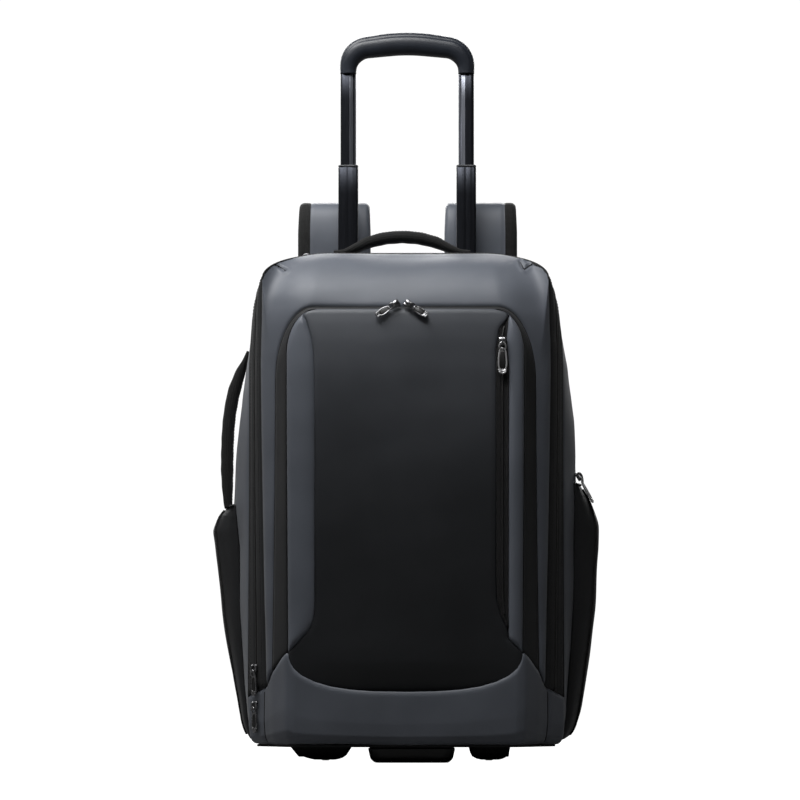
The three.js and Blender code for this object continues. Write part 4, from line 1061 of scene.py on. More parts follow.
def add_pocket_zip():
    """Upright pocket zip: a dark tape with its coil, narrowing to a point at both ends."""
    z = np.linspace(0.262 * BODY_TOP, 0.862 * BODY_TOP, 140)
    near, far = face_edge("right_panel", z) + 0.3, face_edge("right_inset", z) - 0.3
    grid = face_grid(z, near, np.maximum(far, near + 0.3), 16)
    sink = 1.3 * bulge(np.linspace(0, 1, 17))[None, :, None]
    grid = grid + inward(grid) * sink
    cloth("pocket_zip_tape_cloth", rolled(grid, depth=0.6), "tape", nodes=["pocket_zip_tape"])
    line = grid[6:-4, 8]
    coil("pocket_zip_coil", line - inward(line) * 0.5, 1.0)


add_pocket_panel()
add_insets()
add_pocket_zip()


def on_side(side, share, height, off):
    """Points by a side panel, from the share of the way to the back, the height and the distance off it."""
    grid = side_grids[side]
    share, height, off = np.broadcast_arrays(np.asarray(share, float), height, off)
    out = np.empty(share.shape + (3,))
    for index in np.ndindex(share.shape):
        place = share[index] * (grid.shape[1] - 1)
        j = min(int(place), grid.shape[1] - 2)
        line = lerp(grid[:, j], grid[:, j + 1], place - j)
        out[index] = [np.interp(height[index], line[:, 2], line[:, k]) for k in range(3)]
    return out - inward(out) * off[..., None]


SIDE_POCKET_TOP = {"left": 262.0, "right": 284.0}
SIDE_POCKET_LOW = 21.0
SIDE_POCKET_FULLNESS = 22.5
POCKET_SWELL = {
    "left": [(0, 0), (0.05, 0.2), (0.14, 0.35), (0.36, 0.55), (0.56, 0.75), (0.8, 1), (0.89, 1),
             (0.95, 0.65), (1, 0)],
    "right": [(0, 0), (0.05, 0.45), (0.14, 0.7), (0.36, 0.85), (0.56, 0.95), (0.74, 1), (0.84, 0.95),
              (0.93, 0.6), (1, 0)],
}


def add_side_pocket(side):
    """A full side pocket with a piped front edge and a bound mouth."""
    v = np.concatenate([np.linspace(0, 0.85, 44, endpoint=False), np.linspace(0.85, 1, 18)])
    u = np.linspace(0, 1, 51)
    swell = table(POCKET_SWELL[side], v)[:, None] * np.sin(math.pi * u)[None] ** 0.6
    height = lerp(SIDE_POCKET_LOW, SIDE_POCKET_TOP[side], v)
    off = 0.8 + CLOTH + SIDE_POCKET_FULLNESS * swell
    grid = on_side(side, lerp(0.25, 0.96, u)[None], height[:, None], off)
    relief = waves(grid, 46, 61, (1, 1, 0.5)) * 0.9 + waves(grid, 20, 62, (1, 1, 0.4)) * 0.25
    grid = grid - inward(grid) * (relief * np.minimum(swell * 1.6, 1))[..., None]
    cloth(f"side_pocket_cloth_{side}", rolled(grid), "pocket", nodes=[f"side_pocket_{side}"])
    for name, column in (("front", 10), ("rear", 42)):
        line = grid[2:-3, column] - inward(grid[2:-3, column]) * 0.5
        tube(f"side_pocket_piping_{name}_{side}", resample(line, step=4), 1.3, "binding")
    mouth = grid[-2] - inward(grid[-2]) * 0.4
    tube(f"side_pocket_mouth_{side}", resample(mouth, step=3), 1.6, "binding", squash=0.8)
    stitches(f"side_pocket_stitches_{side}", [grid[-7] - inward(grid[-7]) * 0.15])


for which, _ in SIDES:
    add_side_pocket(which)


# Seam welts, thin dark cords sewn into the seams between bands: seam, radius, how far in it lies
WELTS = [
    ("pocket_root", 0.7, 0.9), ("frame_edge", 0.9, 0.9), ("gusset_edge", 0.9, 0.9), ("back_edge", 2.0, 0.2),
]


def add_welts():
    for name, radius, sunk in WELTS:
        line = seams[name] + inward(seams[name]) * sunk
        tube(f"welt_{name}", resample(line, step=4), radius, "binding", around=8)


add_welts()


# Handles

def ease(rows, column, count):
    """One column of a table of rows, read smoothly at even places."""
    places = np.linspace(rows[0][0], rows[-1][0], count)
    return table([(row[0], row[column]) for row in rows], places, 0.05)


# Share of the way along, stand-off share, thickness share
SIDE_HANDLE_ROWS = [(0, 0.21, 0.3), (0.06, 0.3, 0.45), (0.14, 0.62, 0.8), (0.24, 0.86, 1), (0.38, 1, 1),
                    (0.52, 1, 1), (0.64, 0.92, 1), (0.76, 0.82, 1), (0.88, 0.68, 0.85), (1, 0.5, 0.6)]
SIDE_HANDLE_PLACE = 0.42
SIDE_HANDLE_TOP = 418.0
SIDE_HANDLE_LENGTH = 160.0
SIDE_HANDLE_STAND = 10.5
SIDE_HANDLE_THICKNESS = 12.0
HANDLE_WIDTH = 30.0


def add_handle(name, points, thicknesses):
    """A padded carry handle of rolled webbing, flat at its sewn ends, with a row of stitches by each edge."""
    def ribs(share, across):
        return 0.12 * np.sin(share * 60) * (np.abs(across) < 0.8)

    around = 40
    widths = np.full(len(points), HANDLE_WIDTH)
    rings = strap_rings(points, widths, thicknesses, (0, 1, 0), 0.46, around, ribs)
    loft(f"{name}_webbing", rings, "webbing", nodes=[name])
    inset = around // 8
    stitches(f"{name}_stitches", [rings[4:-4, k] for k in (inset, around // 2 - inset)])


def add_side_handle():
    count = 90
    along = np.linspace(0, 1, count)
    off = ease(SIDE_HANDLE_ROWS, 1, count)
    thick = ease(SIDE_HANDLE_ROWS, 2, count)
    heights = SIDE_HANDLE_TOP - along * SIDE_HANDLE_LENGTH
    points = on_side("left", np.full(count, SIDE_HANDLE_PLACE), heights, np.zeros(count))
    points[:, 0] -= off * SIDE_HANDLE_STAND
    add_handle("side_handle", points, thick * SIDE_HANDLE_THICKNESS)


# Place from the left end to the right, rise share, thickness share
TOP_HANDLE_ROWS = [
    (-1, 0, 0.4), (-0.85, 0.03, 0.45), (-0.7, 0.22, 0.7), (-0.5, 0.6, 0.95), (-0.25, 0.9, 1), (0, 1, 1),
    (0.25, 0.9, 1), (0.5, 0.6, 0.95), (0.7, 0.22, 0.7), (0.85, 0.03, 0.45), (1, 0, 0.4),
]
TOP_HANDLE_SPAN = 140.0
TOP_HANDLE_RISE = 13.5
TOP_HANDLE_THICKNESS = 11.5
TOP_HANDLE_SHIFT = -5.0
TOP_HANDLE_Y = TUBE_Y - OUTER_TUBE[1] / 2 - 6 - HANDLE_WIDTH / 2
ON_TOP = BODY_TOP + 0.5


def add_top_handle():
    count = 110
    along = np.linspace(-1, 1, count)
    rise = ease(TOP_HANDLE_ROWS, 1, count)
    thick = ease(TOP_HANDLE_ROWS, 2, count) * TOP_HANDLE_THICKNESS
    points = np.stack([
        TOP_HANDLE_SHIFT + along * TOP_HANDLE_SPAN / 2,
        np.full(count, TOP_HANDLE_Y),
        ON_TOP + thick / 2 + rise * TOP_HANDLE_RISE,
    ], axis=1)
    add_handle("top_handle", points, thick)


add_side_handle()
add_top_handle()


# Shoulder straps, as shares: stand-off of the bow, height of the strap's rise, way out, width
STRAP_ROWS = [
    (0.19, 0.765, 0, 0.96), (0.2, 0.86, 0, 1), (0.23, 0.93, 0, 1), (0.34, 0.98, 0, 0.98), (0.52, 1, 0, 0.97),
    (0.7, 0.98, 0, 0.97), (0.82, 0.93, 0, 0.97), (0.88, 0.83, 0.03, 0.96), (0.92, 0.7, 0.14, 0.93),
    (0.94, 0.55, 0.34, 0.9), (0.9, 0.38, 0.6, 0.86), (0.82, 0.2, 0.84, 0.8), (0.76, 0.06, 0.98, 0.7),
    (0.75, 0.02, 1, 0.62), (0.75, 0, 1, 0.6),
]
STRAP_BOW = 44.0
STRAP_LOW = 214.0
STRAP_THICKNESS = 13.0
STRAP_ROUNDING = 0.42
STRAP_TOP = BODY_TOP + 60.5 - STRAP_THICKNESS / 2
STRAP_WIDTH = 75.5
STRAP_CENTRE = 76.0
STRAP_SPREAD = 30.0
STRAP_BINDING = 13.0
BUCKLE_WIDTH = 34.0
BUCKLE_HEIGHT = 16.0
BUCKLE_BAR = 2.0
BUCKLE_GAP = 0.3
TAPE_WIDTH = 25.0
TAPE_THICKNESS = 2.0
TAPE_FOOT = (128.0, 46.0)
# Way across and way down from the buckle to the tape's foot
TAPE_ROWS = [(0, 0), (0, 0.03), (0.16, 0.25), (0.42, 0.5), (0.74, 0.75), (1, 0.92), (1, 1)]


def strap_swell(share, across):
    """A groove beside the binding on each edge, and slight fullness between quilting marks."""
    ledge = np.abs(across) - (1 - 2 * STRAP_BINDING / STRAP_WIDTH)
    groove = np.exp(-(ledge / 0.035) ** 2)
    return -0.9 * groove + 0.5 * (1 - across ** 2) * np.sin(share * 46) ** 2 * 0.3


def add_shoulder_strap(side, sign):
    """Padded strap in grey cloth with a black binding along its outer edge. Gives its lower end."""
    knots = np.array([(sign * (STRAP_CENTRE + out * STRAP_SPREAD), BACK_Y + off * STRAP_BOW,
                       lerp(STRAP_LOW, STRAP_TOP, height)) for off, height, out, _ in STRAP_ROWS])
    points = spline(knots, 150)
    gone = gone_along(knots)
    places = np.linspace(0, gone[-1], len(points))
    widths = np.interp(places, gone, [row[3] for row in STRAP_ROWS]) * STRAP_WIDTH
    thick = np.full(len(points), STRAP_THICKNESS)
    count = 96
    rings = strap_rings(points, widths, thick, (1, 0, 0), STRAP_ROUNDING, count, strap_swell)
    pairs = section(STRAP_WIDTH, STRAP_THICKNESS, STRAP_THICKNESS * STRAP_ROUNDING, count)
    place = (pairs[:, 0] + np.roll(pairs[:, 0], -1)) / 2 * sign
    bound = place > STRAP_WIDTH / 2 - STRAP_BINDING
    made = loft(f"shoulder_strap_{side}_cloth", rings, ["grey", "binding"], nodes=[f"shoulder_strap_{side}"],
                part_of=lambda row, column: bound[column].astype(int))
    return points[-1]


def add_buckle(side, end, low):
    """Ladder buckle: two uprights and three cross bars."""
    half, high = BUCKLE_WIDTH / 2 - BUCKLE_BAR, low + BUCKLE_HEIGHT
    lines = []
    for x in (-half, half):
        lines.append([(end[0] + x, end[1], low + BUCKLE_BAR), (end[0] + x, end[1], high - BUCKLE_BAR)])
    for z in (low + 1.8, low + BUCKLE_HEIGHT * 0.5, high - 1.8):
        lines.append([(end[0] - half, end[1], z), (end[0] + half, end[1], z)])
    for number, line in enumerate(lines):
        nodes = [] if number else [f"strap_buckle_{side}"]
        tube(f"strap_buckle_{side}_bar_{number}", resample(line, count=12), BUCKLE_BAR, "plastic", around=12,
             nodes=nodes)


def add_webbing(side, sign, end, high):
    """The tape from the buckle down to the bag's rear corner."""
    foot_x, foot_z = sign * TAPE_FOOT[0], TAPE_FOOT[1]
    near = foot_x - sign * TAPE_WIDTH / 2
    foot_y = BACK_Y + 2 * (1 - (near / (SEAMS["back_edge"]["half"] * HALF_WIDTH)) ** 2) + 1.3
    knots = [(lerp(end[0], foot_x, a), lerp(end[1], foot_y, a), lerp(high, foot_z, d)) for a, d in TAPE_ROWS]
    path = spline(knots, 90)
    widths, thicknesses = np.full(len(path), TAPE_WIDTH), np.full(len(path), TAPE_THICKNESS)
    rings = strap_rings(path, widths, thicknesses, (1, 0, 0), 0.3, 28)
    loft(f"strap_webbing_{side}_tape", rings, "webbing", nodes=[f"strap_webbing_{side}"])


def add_straps():
    for side, sign in SIDES:
        end = add_shoulder_strap(side, sign)
        low = end[2] - BUCKLE_GAP - BUCKLE_HEIGHT
        add_buckle(side, end, low)
        add_webbing(side, sign, end, low - BUCKLE_GAP)


add_straps()


# Pull handle

RIM = 0.5
RIB_DEPTH = 0.35
# Start and end of the piece's name, look, body, low end, top end, outline, wall, corner cut, ribs
TUBES = [
    ("outer_tube", "profile", "tube", "bag", 68.3, 514, OUTER_TUBE, 1.6, 0, 0),
    ("middle_tube", "profile", "tube", "handle_lower", 306, 612, MIDDLE_TUBE, 1.5, 0, 3),
    ("middle_collar", "cap", "collar", "handle_lower", 612.3, 614.3, MIDDLE_TUBE, 1.8, 0, 0),
    ("upper_tube", "profile", "tube", "handle_upper", 421, 709, UPPER_TUBE, 1.4, 2.2, 0),
    ("handle_bezel", "cap", "plastic", "bag", 519.2, 521.5, BEZEL, 6.0, 0, 0),
]


def tube_section(outline, facet, ribs):
    """Rounded tube outline. facet cuts back the right half of its front, and ribs run along the front."""
    width, depth = outline
    pairs = section(width, depth, 3.2, 64)
    front = pairs[:, 1] < 0
    cut = smooth(0, 1, (pairs[:, 0] - width * 0.02) / (width * 0.48)) * facet
    pairs[:, 1] = np.where(front, pairs[:, 1] + cut, pairs[:, 1])
    if ribs:
        flat = pairs[:, 1] < -depth * 0.4
        wave = np.cos(pairs[:, 0] / width * 2 * math.pi * ribs)
        pairs[:, 1] = np.where(flat, pairs[:, 1] + RIB_DEPTH * (wave > 0.3), pairs[:, 1])
    return pairs


def add_hollow_tube(side, sign, name, ending, look, body, low, high, outline, wall, facet, ribs):
    """A straight tube with an open bore and eased ends. Its cut corner faces the bag's middle."""
    width, depth = outline
    outer = tube_section(outline, facet, ribs)
    inner = section(width - 2 * wall, depth - 2 * wall, 2.0, 64)

    def ring(pairs, z, shrink=0.0):
        scale = 1 - 2 * shrink / width
        across, back = sign * (TUBE_X - pairs[:, 0] * scale), TUBE_Y + pairs[:, 1] * scale
        return np.stack([across, back, np.full(len(pairs), z)], axis=1)

    outside = [ring(outer, low, RIM)] + [ring(outer, z) for z in np.linspace(low + RIM, high - RIM, 12)]
    outside.append(ring(outer, high, RIM))
    inside = [ring(inner, high), ring(inner, low)]
    cut = (outer[:, 1] < 0) & (outer[:, 0] > width * 0.03)

    def part_of(row, column):
        return cut[column].astype(int) * (row < len(outside) - 1)

    looks, parts = ([look, "facet"], part_of) if facet else (look, None)
    loft(f"{name}_{side}_{ending}", outside + inside, looks, closed=True, body=body, nodes=[f"{name}_{side}"],
         part_of=parts)


def add_pull_handle():
    for side, sign in SIDES:
        for row in TUBES:
            add_hollow_tube(side, sign, *row)


GRIP_TOP = 752.0
GRIP_BAR = 23.5
GRIP_ARCH = 3.5
GRIP_DEPTH = 24.0
GRIP_LEG = 16.6
GRIP_BEND = 22.0
GRIP_LOW = 709.3
GRIP_GROOVE = 1.0
GRIP_SEAM = 0.66


def add_grip():
    """Soft grip: arched bar, rounded shoulders and a parting line near the top of its front."""
    shoulder = GRIP_TOP - GRIP_ARCH - GRIP_BAR / 2
    inner = TUBE_X - GRIP_BEND
    bend = [(inner + GRIP_BEND * math.cos(a), shoulder - GRIP_BEND + GRIP_BEND * math.sin(a))
            for a in np.linspace(0, math.pi / 2, 15)]
    arch = [(x, shoulder + GRIP_ARCH * math.cos(x / inner * math.pi / 2)) for x in (32, 24, 16, 8)]
    half = np.array([(TUBE_X, GRIP_LOW), (TUBE_X, GRIP_LOW + 3)] + bend + arch + [(0, shoulder + GRIP_ARCH)])
    whole = np.vstack([half, half[-2::-1] * (-1, 1)])
    path = resample(np.stack([whole[:, 0], np.full(len(whole), TUBE_Y), whole[:, 1]], axis=1), count=170)
    blur = np.hanning(13)[1:-1] / np.hanning(13)[1:-1].sum()
    path[6:-6] = np.stack([np.convolve(path[:, k], blur, "same") for k in range(3)], axis=1)[6:-6]
    rise = smooth(GRIP_LOW, shoulder, path[:, 2]) * 0.8 + 0.2 * smooth(46, 18, np.abs(path[:, 0]))
    widths = lerp(GRIP_LEG + 1, GRIP_DEPTH, rise)
    thick = lerp(GRIP_LEG, GRIP_BAR, rise)
    rings = strap_rings(path, widths, thick, (0, 1, 0), 0.46, 72)
    centre = rings.mean(axis=1, keepdims=True)
    away = rings - centre
    outs = np.cross(tangents(path), np.array([0, 1.0, 0]))
    outs = outs * np.where(outs[:, 2:] + 0.3 * np.sign(path[:, :1]) * outs[:, :1] < 0, -1, 1)
    level = np.einsum("ijk,ik->ij", away, outs) / (thick[:, None] / 2)
    fade = smooth(GRIP_LOW + 2, GRIP_LOW + 16, path[:, 2])[:, None]
    cut = np.exp(-((level - GRIP_SEAM) / 0.07) ** 2) * (away[..., 1] < 0) * fade * GRIP_GROOVE
    rings = centre + away * (1 - cut / np.linalg.norm(away, axis=2))[..., None]
    loft("grip_moulding", rings, "grip", body="handle_upper", nodes=["grip"])


add_pull_handle()
add_grip()


# Wheels, housings and foot

HUB_BORE = 3.9
HUB_GAP = 0.3
SPOKES = 6
AXLE_RADIUS = 3.5
GROOVE_PLACE = 5
GROOVE_DEPTH = 0.8


def on_wheel(x, radius, angle):
    return np.stack(np.broadcast_arrays(x, WHEEL_Y + radius * math.cos(angle),
                                        WHEEL_RADIUS + radius * math.sin(angle)), axis=-1)


def turned(name, profile, x, look, body, node):
    """A ring turned about the wheel's axis from (radius, along) pairs."""
    turns = np.linspace(0, 2 * math.pi, 96, endpoint=False)
    rings = [on_wheel(x + profile[:, 1], profile[:, 0], turn) for turn in turns]
    loft(name, rings, look, closed=True, body=body, nodes=[node])


def add_wheel(side, sign):
    """Grooved tyre, hub with raised spokes on both faces, and the axle."""
    x, body = sign * WHEEL_X, f"wheel_{side}"
    rim, half = WHEEL_RADIUS - TYRE_DEPTH, TYRE_WIDTH / 2
    curve = np.linspace(-1, 1, 25)
    crown = WHEEL_RADIUS - 5.2 * np.abs(curve) ** 3.2
    seat = [(rim, a) for a in np.linspace(half * 0.8, -half * 0.8, 6)]
    tyre = np.array([(rim, -half)] + list(zip(crown, curve * half)) + [(rim, half)] + seat)
    slots = (np.abs(np.abs(tyre[:, 1]) - GROOVE_PLACE) < 0.8) & (tyre[:, 0] > WHEEL_RADIUS - 1.5)
    tyre[:, 0] -= GROOVE_DEPTH * slots
    turned(f"wheel_tyre_{side}_tread", tyre, x, "tyre", body, f"wheel_tyre_{side}")
    face, web, outer = half - 1, half - 4, rim - HUB_GAP
    right = [(HUB_BORE + 5, face), (HUB_BORE + 6.5, web), (rim - 5, web), (rim - 3, face), (outer, face)]
    hub = [(HUB_BORE, -face), (HUB_BORE, face)] + right + [(r, -a) for r, a in right[::-1]]
    ring = resample([(r, a, 0) for r, a in hub + hub[:1]], count=61)[:-1, :2]
    turned(f"wheel_hub_{side}_core", ring, x, "plastic", body, f"wheel_hub_{side}")
    for way, word in ((-1, "in"), (1, "out")):
        for k in range(SPOKES):
            radii = np.linspace(HUB_BORE + 5.5, rim - 3.5, 6)
            line = on_wheel(x + way * (half - 3.2), radii, k / SPOKES * 2 * math.pi)
            tube(f"wheel_spoke_{side}_{word}_{k}", line, 1.5, "plastic", around=10, body=body)
    axle_low, axle_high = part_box(f"wheel_axle_{side}")
    path = [(value, WHEEL_Y, WHEEL_RADIUS) for value in np.linspace(axle_low.x / MM, axle_high.x / MM, 16)]
    radii = np.full(16, AXLE_RADIUS)
    radii[[0, -1]] -= 0.5
    tube(f"wheel_axle_{side}_pin", path, radii, "steel", around=24, nodes=[f"wheel_axle_{side}"])


for which, way in SIDES:
    add_wheel(which, way)
    softened(f"wheel_housing_{which}_moulding", f"wheel_housing_{which}", 0.8, 4, 0.35)

# Front skirts of the wheel housings: height, left limit and right limit
SKIRTS = {
    "left": [(16.4, -119.5, -55.5), (13, -117.5, -57), (9, -114, -59.5), (6, -110, -61.5), (3.8, -104, -64.5),
             (2.3, -99, -68), (1.4, -94, -73)],
    "right": [(16.4, 63, 106), (13, 63.5, 105.5), (9, 64.5, 104.5), (6, 66, 103), (3.8, 68.5, 101),
              (2.3, 71.5, 98), (1.4, 76, 94)],
}
SKIRT_DEPTH = 8.0


def add_wheel_skirts():
    """Rounded front skirts of the wheel housings, narrowing downwards from the bag's base."""
    back = HOUSING_FRONT - CUT_GAP
    front = back - SKIRT_DEPTH
    for side, rows in SKIRTS.items():
        heights, lows, highs = np.array(rows[::-1], float).T
        rings = []
        for z in np.linspace(heights[-1], heights[0], 26):
            low, high = np.interp(z, heights, lows), np.interp(z, heights, highs)
            pairs = section(high - low, SKIRT_DEPTH - 0.2 * max(9 - z, 0) ** 1.2, 2.4, 44)
            rings.append([((low + high) / 2 + x, (front + back) / 2 + y, z) for x, y in pairs])
        loft(f"wheel_skirt_{side}", rings, "plastic")


add_wheel_skirts()
softened("stand_foot_moulding", "stand_foot", 1.3, 8, 0.5)


def add_base():
    """Flat cloth under the body with eased edges."""
    made = copy_of("base_cloth", "base_panel", "gusset")
    step = made.modifiers.new("edge", "BEVEL")
    step.width = 0.6 * MM
    step.segments = 2
    apply_modifiers(made)
    layer = made.data.uv_layers.new(name="lengths")
    for loop, entry in zip(made.data.loops, layer.data):
        entry.uv = made.data.vertices[loop.vertex_index].co.xy


add_base()


# Zip pulls

def pull_axes(out, along):
    normal = np.asarray(out, float)
    normal = normal / np.linalg.norm(normal)
    down = np.asarray(along, float)
    down = down - normal * np.dot(down, normal)
    down = down / np.linalg.norm(down)
    return np.cross(down, normal), down, normal


# Slider sections: place along it, half width, height
SLIDER_ROWS = [
    (-4.5, 3.0, 1.8), (-3.9, 3.8, 2.6), (-1.5, 4.0, 3.0), (1.5, 3.4, 3.0), (3.6, 2.6, 2.6), (4.5, 2.0, 1.8),
]
# Bridge over the slider: place along it, height
BRIDGE_ROWS = [(-3.4, 2.4), (-2.6, 4.3), (0.4, 5.0), (2.8, 4.2), (3.4, 2.4)]
# Dark core of a puller: share of its length, half width, thickness
CORE_ROWS = [(0.09, 0.8, 0.9), (0.16, 2.3, 1.5), (0.5, 2.9, 1.7), (0.84, 3.1, 1.6), (0.92, 1.6, 1.0)]
# Bars past a puller's end: distance, half length
END_BARS = [(1.1, 4.2), (3.0, 3.6)]


def add_zip_pull(name, place, out, along, length, wide=1.0, look="gunmetal"):
    """Slider with a bridge, a link through it, and a looped puller with a dark core and two end bars."""
    across, down, normal = pull_axes(out, along)
    place = np.asarray(place, float)

    def at(u, v, w):
        return place + across * u + down * v + normal * w

    def hang(v):
        return 4.4 - 2.2 * smooth(2, 9, v)

    def loop(low, high, half_low, half_high, power):
        line = []
        for angle in np.linspace(0, 2 * math.pi, 56, endpoint=False):
            turns = (math.cos(angle), math.sin(angle))
            rise, swing = (math.copysign(abs(turn) ** power, turn) for turn in turns)
            v = (low + high) / 2 - (high - low) / 2 * rise
            half = lerp(half_low, half_high, (v - low) / (high - low)) * wide
            line.append(at(half * swing, v, hang(v)))
        return line

    rings = [[at(u, v, lift / 2 + w) for u, w in section(2 * half, lift, lift * 0.45, 24)]
             for v, half, lift in SLIDER_ROWS]
    loft(f"{name}_slider_body", rings, "gunmetal", nodes=[f"{name}_slider"])
    bridge = spline([at(0, v, w) for v, w in BRIDGE_ROWS], 24)
    tube(f"{name}_slider_bridge", bridge, 0.9, "gunmetal", around=12, squash=1.5)
    tube(f"{name}_puller_link", loop(1.4, 8.2, 2.4, 3.9, 0.8), 0.85, look, closed=True)
    low, high = 7.2, 4.5 + length
    frame_line = loop(low, high, 3.3, 4.4, 0.7)
    tube(f"{name}_puller_loop", frame_line, 0.95, look, closed=True, nodes=[f"{name}_puller"])
    core = []
    for share, half, thick in CORE_ROWS:
        v = lerp(low, high, share)
        core.append([at(u, v, hang(v) + w) for u, w in section(2 * half * wide, thick, thick * 0.4, 20)])
    loft(f"{name}_puller_core", core, "plastic")
    for number, (extra, reach) in enumerate(END_BARS):
        shares = np.linspace(-1, 1, 14)
        tip = [at(share * reach * wide, high + extra - 2.2 * share ** 2, hang(high)) for share in shares]
        tube(f"{name}_puller_end_{number}", tip, np.array([0.7] + [1.15] * 12 + [0.7]), look, around=12)


def add_zip_pulls():
    for name, x, sign in (("top_zip_left", -10, -1), ("top_zip_right", 3, 1)):
        place = pocket_face(np.float64(x), np.float64(FACE_TOP)) + (0, -0.15, 4)
        add_zip_pull(name, place, (0, -1, 0.32), (sign, 0, -0.7), 15, wide=0.78)
    place = pocket_face(np.float64(0.6095 * HALF_WIDTH), np.float64(0.815 * BODY_TOP)) + (0, -0.6, 0)
    add_zip_pull("front_zip", place, (0, -1, 0.1), (0, 0, -1), 25, look="silver")
    inner, outer = SEAMS["frame_edge"], SEAMS["gusset_edge"]
    gusset_x = -(inner["foot"] + outer["foot"]) / 2 * HALF_WIDTH
    gusset_y = depth_y((inner["y_side"] + outer["y_side"]) / 2)
    sideways = np.array([-0.82, -0.57, 0])
    for name, height, off in (("main_zip_upper", 0.182, 1.3), ("main_zip_lower", 0.11, 0.6)):
        place = np.array([gusset_x, gusset_y, height * BODY_TOP]) + sideways * (off + 0.6)
        add_zip_pull(name, place, sideways, (0, 0, -1), 19)
    place = on_side("right", np.array([0.34]), 289.0, np.array([2.0]))[0]
    add_zip_pull("side_zip", place, (1, -0.25, 0.55), (0.5, 0, -1), 22, look="silver")


add_zip_pulls()


D_RING_HALF = 4.6
D_RING_WIRE = 0.95


def add_d_ring():
    """Wire ring in the shape of a D and the webbing tab that holds it."""
    low, high = (np.array(v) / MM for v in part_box("d_ring"))
    x, y, half = (low[0] + high[0]) / 2, (low[1] + high[1]) / 2, D_RING_HALF
    foot, top = low[2] + D_RING_WIRE, high[2] - D_RING_WIRE
    line = [(x - half, y, foot), (x + half, y, foot)]
    for a in np.linspace(0, math.pi, 17):
        line.append((x + half * math.cos(a), y, top - half + half * math.sin(a)))
    path = resample(line + line[:1], count=61)[:-1]
    tube("d_ring_wire", path, D_RING_WIRE, "gunmetal", closed=True, around=12, nodes=["d_ring"], up=(0, 1, 0))
    low, high = (np.array(v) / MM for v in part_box("d_ring_tab"))
    centre, size = (low + high) / 2, high - low
    points = centre + np.linspace(-0.5, 0.5, 16)[:, None] * (size[0], 0, 0)
    rings = strap_rings(points, np.full(16, size[1]), np.full(16, size[2]), (0, 1, 0), 0.4, 24)
    loft("d_ring_tab_webbing", rings, "webbing", nodes=["d_ring_tab"])


add_d_ring()


# Floor, light and camera

FLOOR_SIZE = 14.0
FLOOR_GLOW = 1.05
AMBIENT = 0.042
BACKDROP = 1.3
# Name, place, target, size and power
LIGHTS = [
    ("top_softbox", (-0.3, -0.38, 1.35), (0.0, -0.05, 0.4), (1.0, 0.4), 21),
    ("front_softbox", (-0.3, -1.7, 1.9), (0.0, 0.0, 0.45), (1.2, 0.5), 2.0),
    ("left_strip", (-1.7, -0.35, 0.7), (0.0, 0.0, 0.35), (0.3, 1.2), 1.7),
    ("right_strip", (1.6, -0.6, 0.8), (0.0, 0.0, 0.4), (0.3, 1.2), 0.6),
    ("rear_wash", (0.0, 1.9, 1.3), (0.0, 0.0, 0.35), (1.6, 0.9), 42),
    ("left_rear", (-1.4, 1.8, 1.1), (0.0, 0.1, 0.35), (0.8, 1.0), 6),
    ("right_rear", (1.4, 1.9, 1.1), (0.0, 0.1, 0.35), (0.8, 1.0), 3.5),
]
LENS = 265
CAMERA_DISTANCE = 6
CAMERA_HEIGHT = 0.1
CAMERA_SWING = math.radians(0.7)
AIM = Vector((-0.0066, -0.0145, 0.368))


def mix_for_camera(tree, others, camera):
    """One shader for camera rays and another for all others."""
    rays = tree.nodes.new("ShaderNodeLightPath")
    mix = tree.nodes.new("ShaderNodeMixShader")
    tree.links.new(rays.outputs["Is Camera Ray"], mix.inputs[0])
    tree.links.new(others.outputs[0], mix.inputs[1])
    tree.links.new(camera.outputs[0], mix.inputs[2])
    return mix


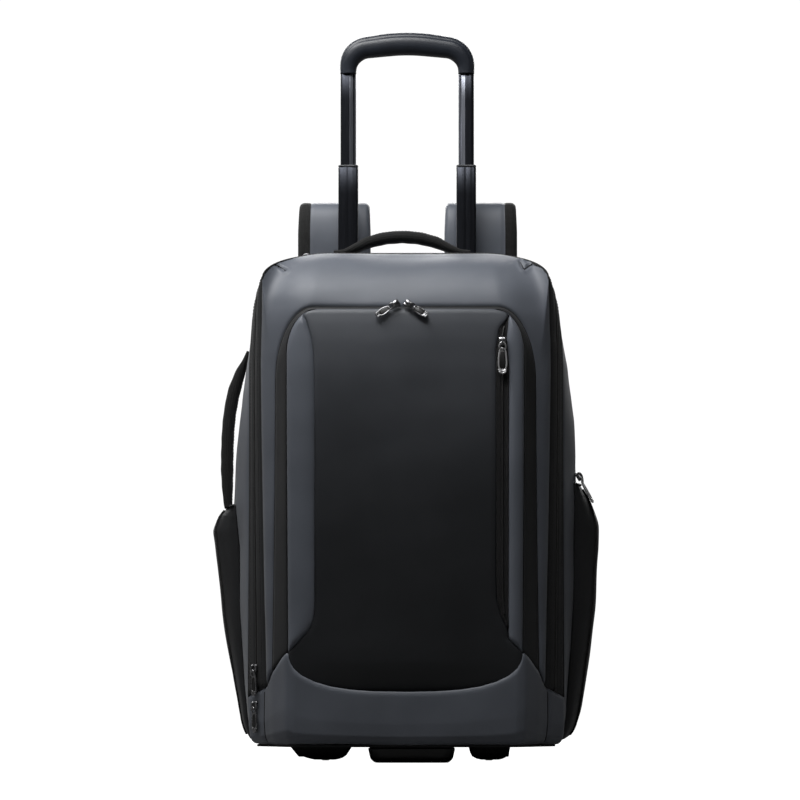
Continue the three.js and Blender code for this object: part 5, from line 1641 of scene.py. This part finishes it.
def add_stage():
    """Pale floor that glows towards the camera alone, so it shows white and still takes shadows."""
    floor = Nodes("pale_floor", (0.16, 0.16, 0.16), 0.9, specular=0.1)
    floor.vary_color(floor.noise(3, 2), 0.01)
    glow = floor.node("ShaderNodeEmission")
    glow.inputs["Strength"].default_value = FLOOR_GLOW
    add = floor.node("ShaderNodeAddShader")
    floor.link(floor.shader.outputs[0], add.inputs[0])
    floor.link(glow.outputs[0], add.inputs[1])
    mix = mix_for_camera(floor.tree, floor.shader, add)
    floor.link(mix.outputs[0], floor.tree.nodes["Material Output"].inputs["Surface"])
    mesh = bpy.data.meshes.new("floor")
    size = FLOOR_SIZE
    corners = [(-size, -size, 0), (size, -size, 0), (size, size, 0), (-size, size, 0)]
    mesh.from_pydata(corners, [], [(0, 1, 2, 3)])
    mesh.materials.append(floor.material)
    made = bpy.data.objects.new("floor", mesh)
    bpy.context.scene.collection.objects.link(made)


def aimed(made, place, target):
    """Puts a light or camera in the scene at a place, looking at a target."""
    made.location = place
    made.rotation_euler = (Vector(target) - Vector(place)).to_track_quat("-Z", "Y").to_euler()
    bpy.context.scene.collection.objects.link(made)


def add_world():
    """Dim even light, and a white backdrop for the camera."""
    bpy.context.scene.view_settings.view_transform = "Standard"
    world = bpy.data.worlds.new("studio")
    world.use_nodes = True
    tree = world.node_tree
    ambient = tree.nodes["Background"]
    ambient.inputs["Color"].default_value = (1, 1, 1, 1)
    ambient.inputs["Strength"].default_value = AMBIENT
    backdrop = tree.nodes.new("ShaderNodeBackground")
    backdrop.inputs["Strength"].default_value = BACKDROP
    mix = mix_for_camera(tree, ambient, backdrop)
    tree.links.new(mix.outputs[0], tree.nodes["World Output"].inputs["Surface"])
    bpy.context.scene.world = world


def add_lights():
    for name, place, target, size, power in LIGHTS:
        light = bpy.data.lights.new(name, "AREA")
        light.shape = "RECTANGLE"
        light.size, light.size_y = size
        light.energy = power
        aimed(bpy.data.objects.new(name, light), place, target)


def add_camera():
    camera = bpy.data.cameras.new("camera")
    camera.sensor_width = 36
    camera.lens = LENS
    camera.clip_end = 50
    made = bpy.data.objects.new("camera", camera)
    away = (CAMERA_DISTANCE * math.sin(CAMERA_SWING), CAMERA_DISTANCE * math.cos(CAMERA_SWING))
    aimed(made, (AIM.x + away[0], AIM.y - away[1], CAMERA_HEIGHT), AIM)
    bpy.context.scene.camera = made


add_stage()
add_world()
add_lights()
add_camera()
